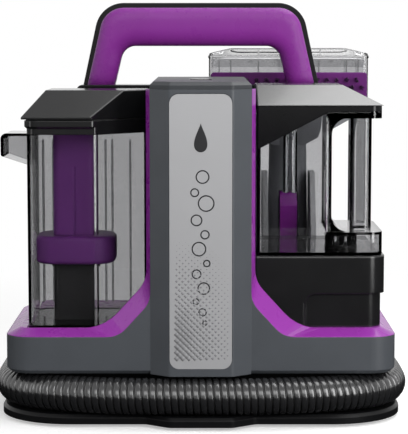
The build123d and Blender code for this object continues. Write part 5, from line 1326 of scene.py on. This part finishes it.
@dataclass
class Studio:
    """Camera, pale floor and soft light."""

    eye: Point = (0.0027, -1.5386, 0.3280)
    target: Point = (0.0027, -0.007, 0.167)
    focal_pixels: float = 1724.0
    picture_height: float = 434.0
    sensor: float = 36.0
    ambient: float = 0.26
    floor_half: float = 4.0
    floor_white: float = 0.78
    floor_glow: float = 0.42
    floor_bounce: float = 0.30
    floor_fade: Pair = (0.35, 0.9)
    cloth_half: float = 6.0
    cloth_level: float = 0.4 * MM
    cloth_white: float = 0.004
    lamps: tuple[SoftBox, ...] = (
        SoftBox("key_softbox", (0.50, 0.10, 1.30), (0.46, 0.05, 0.0), (0.90, 1.00), 4.0),
        SoftBox("front_softbox", (0.10, -1.60, 0.95), (0, -0.10, 0.10), (1.60, 0.70), 3.2),
        SoftBox("left_strip", (-1.10, -0.45, 0.45), (0, 0, 0.17), (0.25, 1.10), 2.0),
        SoftBox("right_strip", (0.92, -1.00, 0.45), (0, 0, 0.17), (0.45, 1.10), 8.0),
    )

    def aim(self, thing: Piece, place: Point, target: Point) -> None:
        """Places a lamp or camera and turns it to a point.

        Args:
            thing: The lamp or camera.
            place: Where it stands.
            target: What it looks at.
        """
        bpy.context.scene.collection.objects.link(thing)
        thing.location = place
        thing.rotation_euler = (Vector(target) - Vector(place)).to_track_quat("-Z", "Y").to_euler()

    def camera(self) -> None:
        """Sets the photograph's view."""
        lens = bpy.data.cameras.new("camera")
        lens.sensor_width = self.sensor
        lens.lens = self.focal_pixels * self.sensor / self.picture_height
        camera = bpy.data.objects.new("camera", lens)
        self.aim(camera, self.eye, self.target)
        bpy.context.scene.camera = camera

    def lamp(self, box: SoftBox) -> None:
        """Adds a lamp.

        Args:
            box: The lamp.
        """
        light = bpy.data.lights.new(box.name, "AREA")
        light.shape = "RECTANGLE"
        light.size, light.size_y = box.size
        light.energy = box.radiance * math.pi * light.size * light.size_y
        self.aim(bpy.data.objects.new(box.name, light), box.place, box.target)

    def seen(self, graph: Graph) -> Socket:
        """Tells rays that show the background from rays that light the object.

        Args:
            graph: The tree to add nodes to.

        Returns:
            A socket that is 1 for camera, glossy and transmission rays.
        """
        path = graph.add("ShaderNodeLightPath").outputs
        mirror = graph.math("MAXIMUM", path["Is Glossy Ray"], path["Is Transmission Ray"])
        return graph.math("MAXIMUM", path["Is Camera Ray"], mirror)

    def sky(self) -> None:
        """Sets a white background and an even light from all sides."""
        world = bpy.data.worlds.new("studio")
        world.use_nodes = True
        graph = Graph(world.node_tree)
        white = {"Color": (1, 1, 1, 1), "Strength": 1.0}
        light = graph.out("ShaderNodeBackground", white | {"Strength": self.ambient})
        backdrop = graph.out("ShaderNodeBackground", white)
        shown = graph.out("ShaderNodeMixShader", {0: self.seen(graph), 1: light, 2: backdrop})
        graph.add("ShaderNodeOutputWorld", {"Surface": shown})
        bpy.context.scene.world = world

    def sheet(self, name: str, half: float, level: float, material: bpy.types.Material) -> Piece:
        """Lays a square sheet.

        Args:
            name: Its name.
            half: Half its width.
            level: Its height.
            material: What it is made of.

        Returns:
            The sheet.
        """
        corners = [(x * half, y * half, level) for x, y in ((-1, -1), (1, -1), (1, 1), (-1, 1))]
        mesh = bpy.data.meshes.new(name)
        mesh.from_pydata(corners, [], [(0, 1, 2, 3)])
        mesh.materials.append(material)
        return link_piece(name, mesh)

    def floor(self) -> None:
        """Lays a pale floor that keeps the shadow and fades into the background."""
        material, surface = new_material("floor_paper")
        paper = surface.out("ShaderNodeBsdfDiffuse", {"Color": (*[self.floor_white] * 3, 1)})
        bounce = surface.out("ShaderNodeBsdfDiffuse", {"Color": (*[self.floor_bounce] * 3, 1)})
        white = {"Color": (1, 1, 1, 1), "Strength": 1.0}
        glow = surface.out("ShaderNodeEmission", white | {"Strength": self.floor_glow})
        lit = surface.out("ShaderNodeAddShader", {0: paper, 1: glow})
        backdrop = surface.out("ShaderNodeEmission", white)
        spot = surface.add("ShaderNodeVectorMath", {0: surface.place()}, operation="LENGTH")
        far = surface.ramp(spot.outputs["Value"], *self.floor_fade, 0.0, 1.0)
        shown = surface.out("ShaderNodeMixShader", {0: far, 1: lit, 2: backdrop})
        mixed = surface.out("ShaderNodeMixShader", {0: self.seen(surface), 1: bounce, 2: shown})
        surface.add("ShaderNodeOutputMaterial", {"Surface": mixed})
        self.sheet("floor", self.floor_half, 0, material)

    def cloth(self) -> None:
        """Lays a dark cloth on the floor that keeps black and clear plastic deep.

        Only reflections see it, also those that leave through clear plastic.
        """
        material, surface = new_material("dark_cloth")
        bounces = surface.add("ShaderNodeLightPath").outputs["Glossy Depth"]
        mirrored = surface.math("GREATER_THAN", bounces, 0.5)
        clear = surface.out("ShaderNodeBsdfTransparent")
        dark = surface.out("ShaderNodeBsdfDiffuse", {"Color": (*[self.cloth_white] * 3, 1)})
        mixed = surface.out("ShaderNodeMixShader", {0: mirrored, 1: clear, 2: dark})
        surface.add("ShaderNodeOutputMaterial", {"Surface": mixed})
        cloth = self.sheet("dark_cloth", self.cloth_half, self.cloth_level, material)
        for ray in ("camera", "diffuse", "volume_scatter", "shadow"):
            setattr(cloth, f"visible_{ray}", False)

    def build(self) -> None:
        """Sets up the whole studio."""
        self.camera()
        self.sky()
        self.floor()
        self.cloth()
        for box in self.lamps:
            self.lamp(box)
        bpy.context.scene.view_settings.view_transform = "Standard"
        LOG.info("studio is set")


def sub_assemblies() -> list[SubAssembly]:
    """Lists the machine's groups in building order.

    Returns:
        One object for each group.
    """
    chassis = {
        "base_plate": BASE_BLACK, "rubber_feet": FOOT_RUBBER, "base_screws": SCREW_STEEL,
        "hose_drum": BASE_BLACK, "tool_dock": DOCK_GREY_PAINTED_LIGHT,
    }
    hose = {"hose_port": BASE_BLACK, "hose_cuff_port": BASE_BLACK, "hose_cuff_tool": BASE_BLACK}
    column = {
        "front_shell": SHELL_GREY, "rear_shell": SHELL_GREY, "column_cap": CAP_GREY,
        "cord_gland": SEAL_RUBBER, "trim_left": PURPLE, "trim_right": PURPLE,
        "power_button": GLOSS_BLACK, "power_switch": INNER_GREY,
    }
    handle = {
        "carry_handle": GRIP_PURPLE_PAINTED_SHADE, "handle_back": GLOSS_BLACK, "shoulder_left": GLOSS_BLACK,
        "shoulder_right": GLOSS_BLACK, "handle_screws": SCREW_STEEL,
    }
    dirty = {
        "dirty_tank": TANK_SMOKE, "dirty_tank_collar": DARK_LID, "dirty_tank_gasket": SEAL_RUBBER,
        "dirty_tank_lid": DARK_LID, "dirty_lid_pin": SCREW_STEEL, "suction_stack": STACK_BLACK,
        "stack_cover": INNER_PURPLE, "tank_float": INNER_PURPLE,
    }
    clean = {
        "clean_tank": TANK_CLEAR, "clean_tank_collar": GLOSS_BLACK, "pickup_tube": TUBE_CLEAR,
        "clean_tank_lid": LID_BLACK, "clean_lid_pin": SCREW_STEEL, "valve_body": GLOSS_BLACK,
        "valve_plunger": INNER_GREY, "valve_seal": SEAL_RUBBER,
    }
    inside = {
        "pump_housing": PUMP_BLACK, "water_pump": PUMP_METAL, "pump_piston": SCREW_STEEL,
        "pump_tube": TUBE_CLEAR, "suction_duct": INNER_GREY, "air_duct": INNER_GREY,
        "motor_frame": INNER_GREY, "fan_housing": INNER_GREY, "fan_impeller": PUMP_METAL,
        "motor_can": MOTOR_METAL, "motor_shaft": SCREW_STEEL, "circuit_board": BOARD_GREEN,
        "exhaust_housing": GLOSS_BLACK, "exhaust_grille": BASE_BLACK,
    }
    tool = {"tool_body": TOOL_GREY_PAINTED_LIGHT, "tool_trigger": PURPLE, "trigger_pin": SCREW_STEEL}
    plain = [SubAssembly(group) for group in (chassis, column, handle, inside)]
    label = LabelPanel({"label_plate": LABEL_SILVER})
    return [SuctionHose(hose), label, HandTool(tool), DirtyTank(dirty), CleanTank(clean), *plain]


def main() -> None:
    """Builds the studio and every group, and logs each finish and piece."""
    logging.basicConfig(level=logging.INFO, format="%(message)s")
    Studio().build()
    for group in sub_assemblies():
        group.dress()
        group.build()


if __name__ == "__main__":
    main()
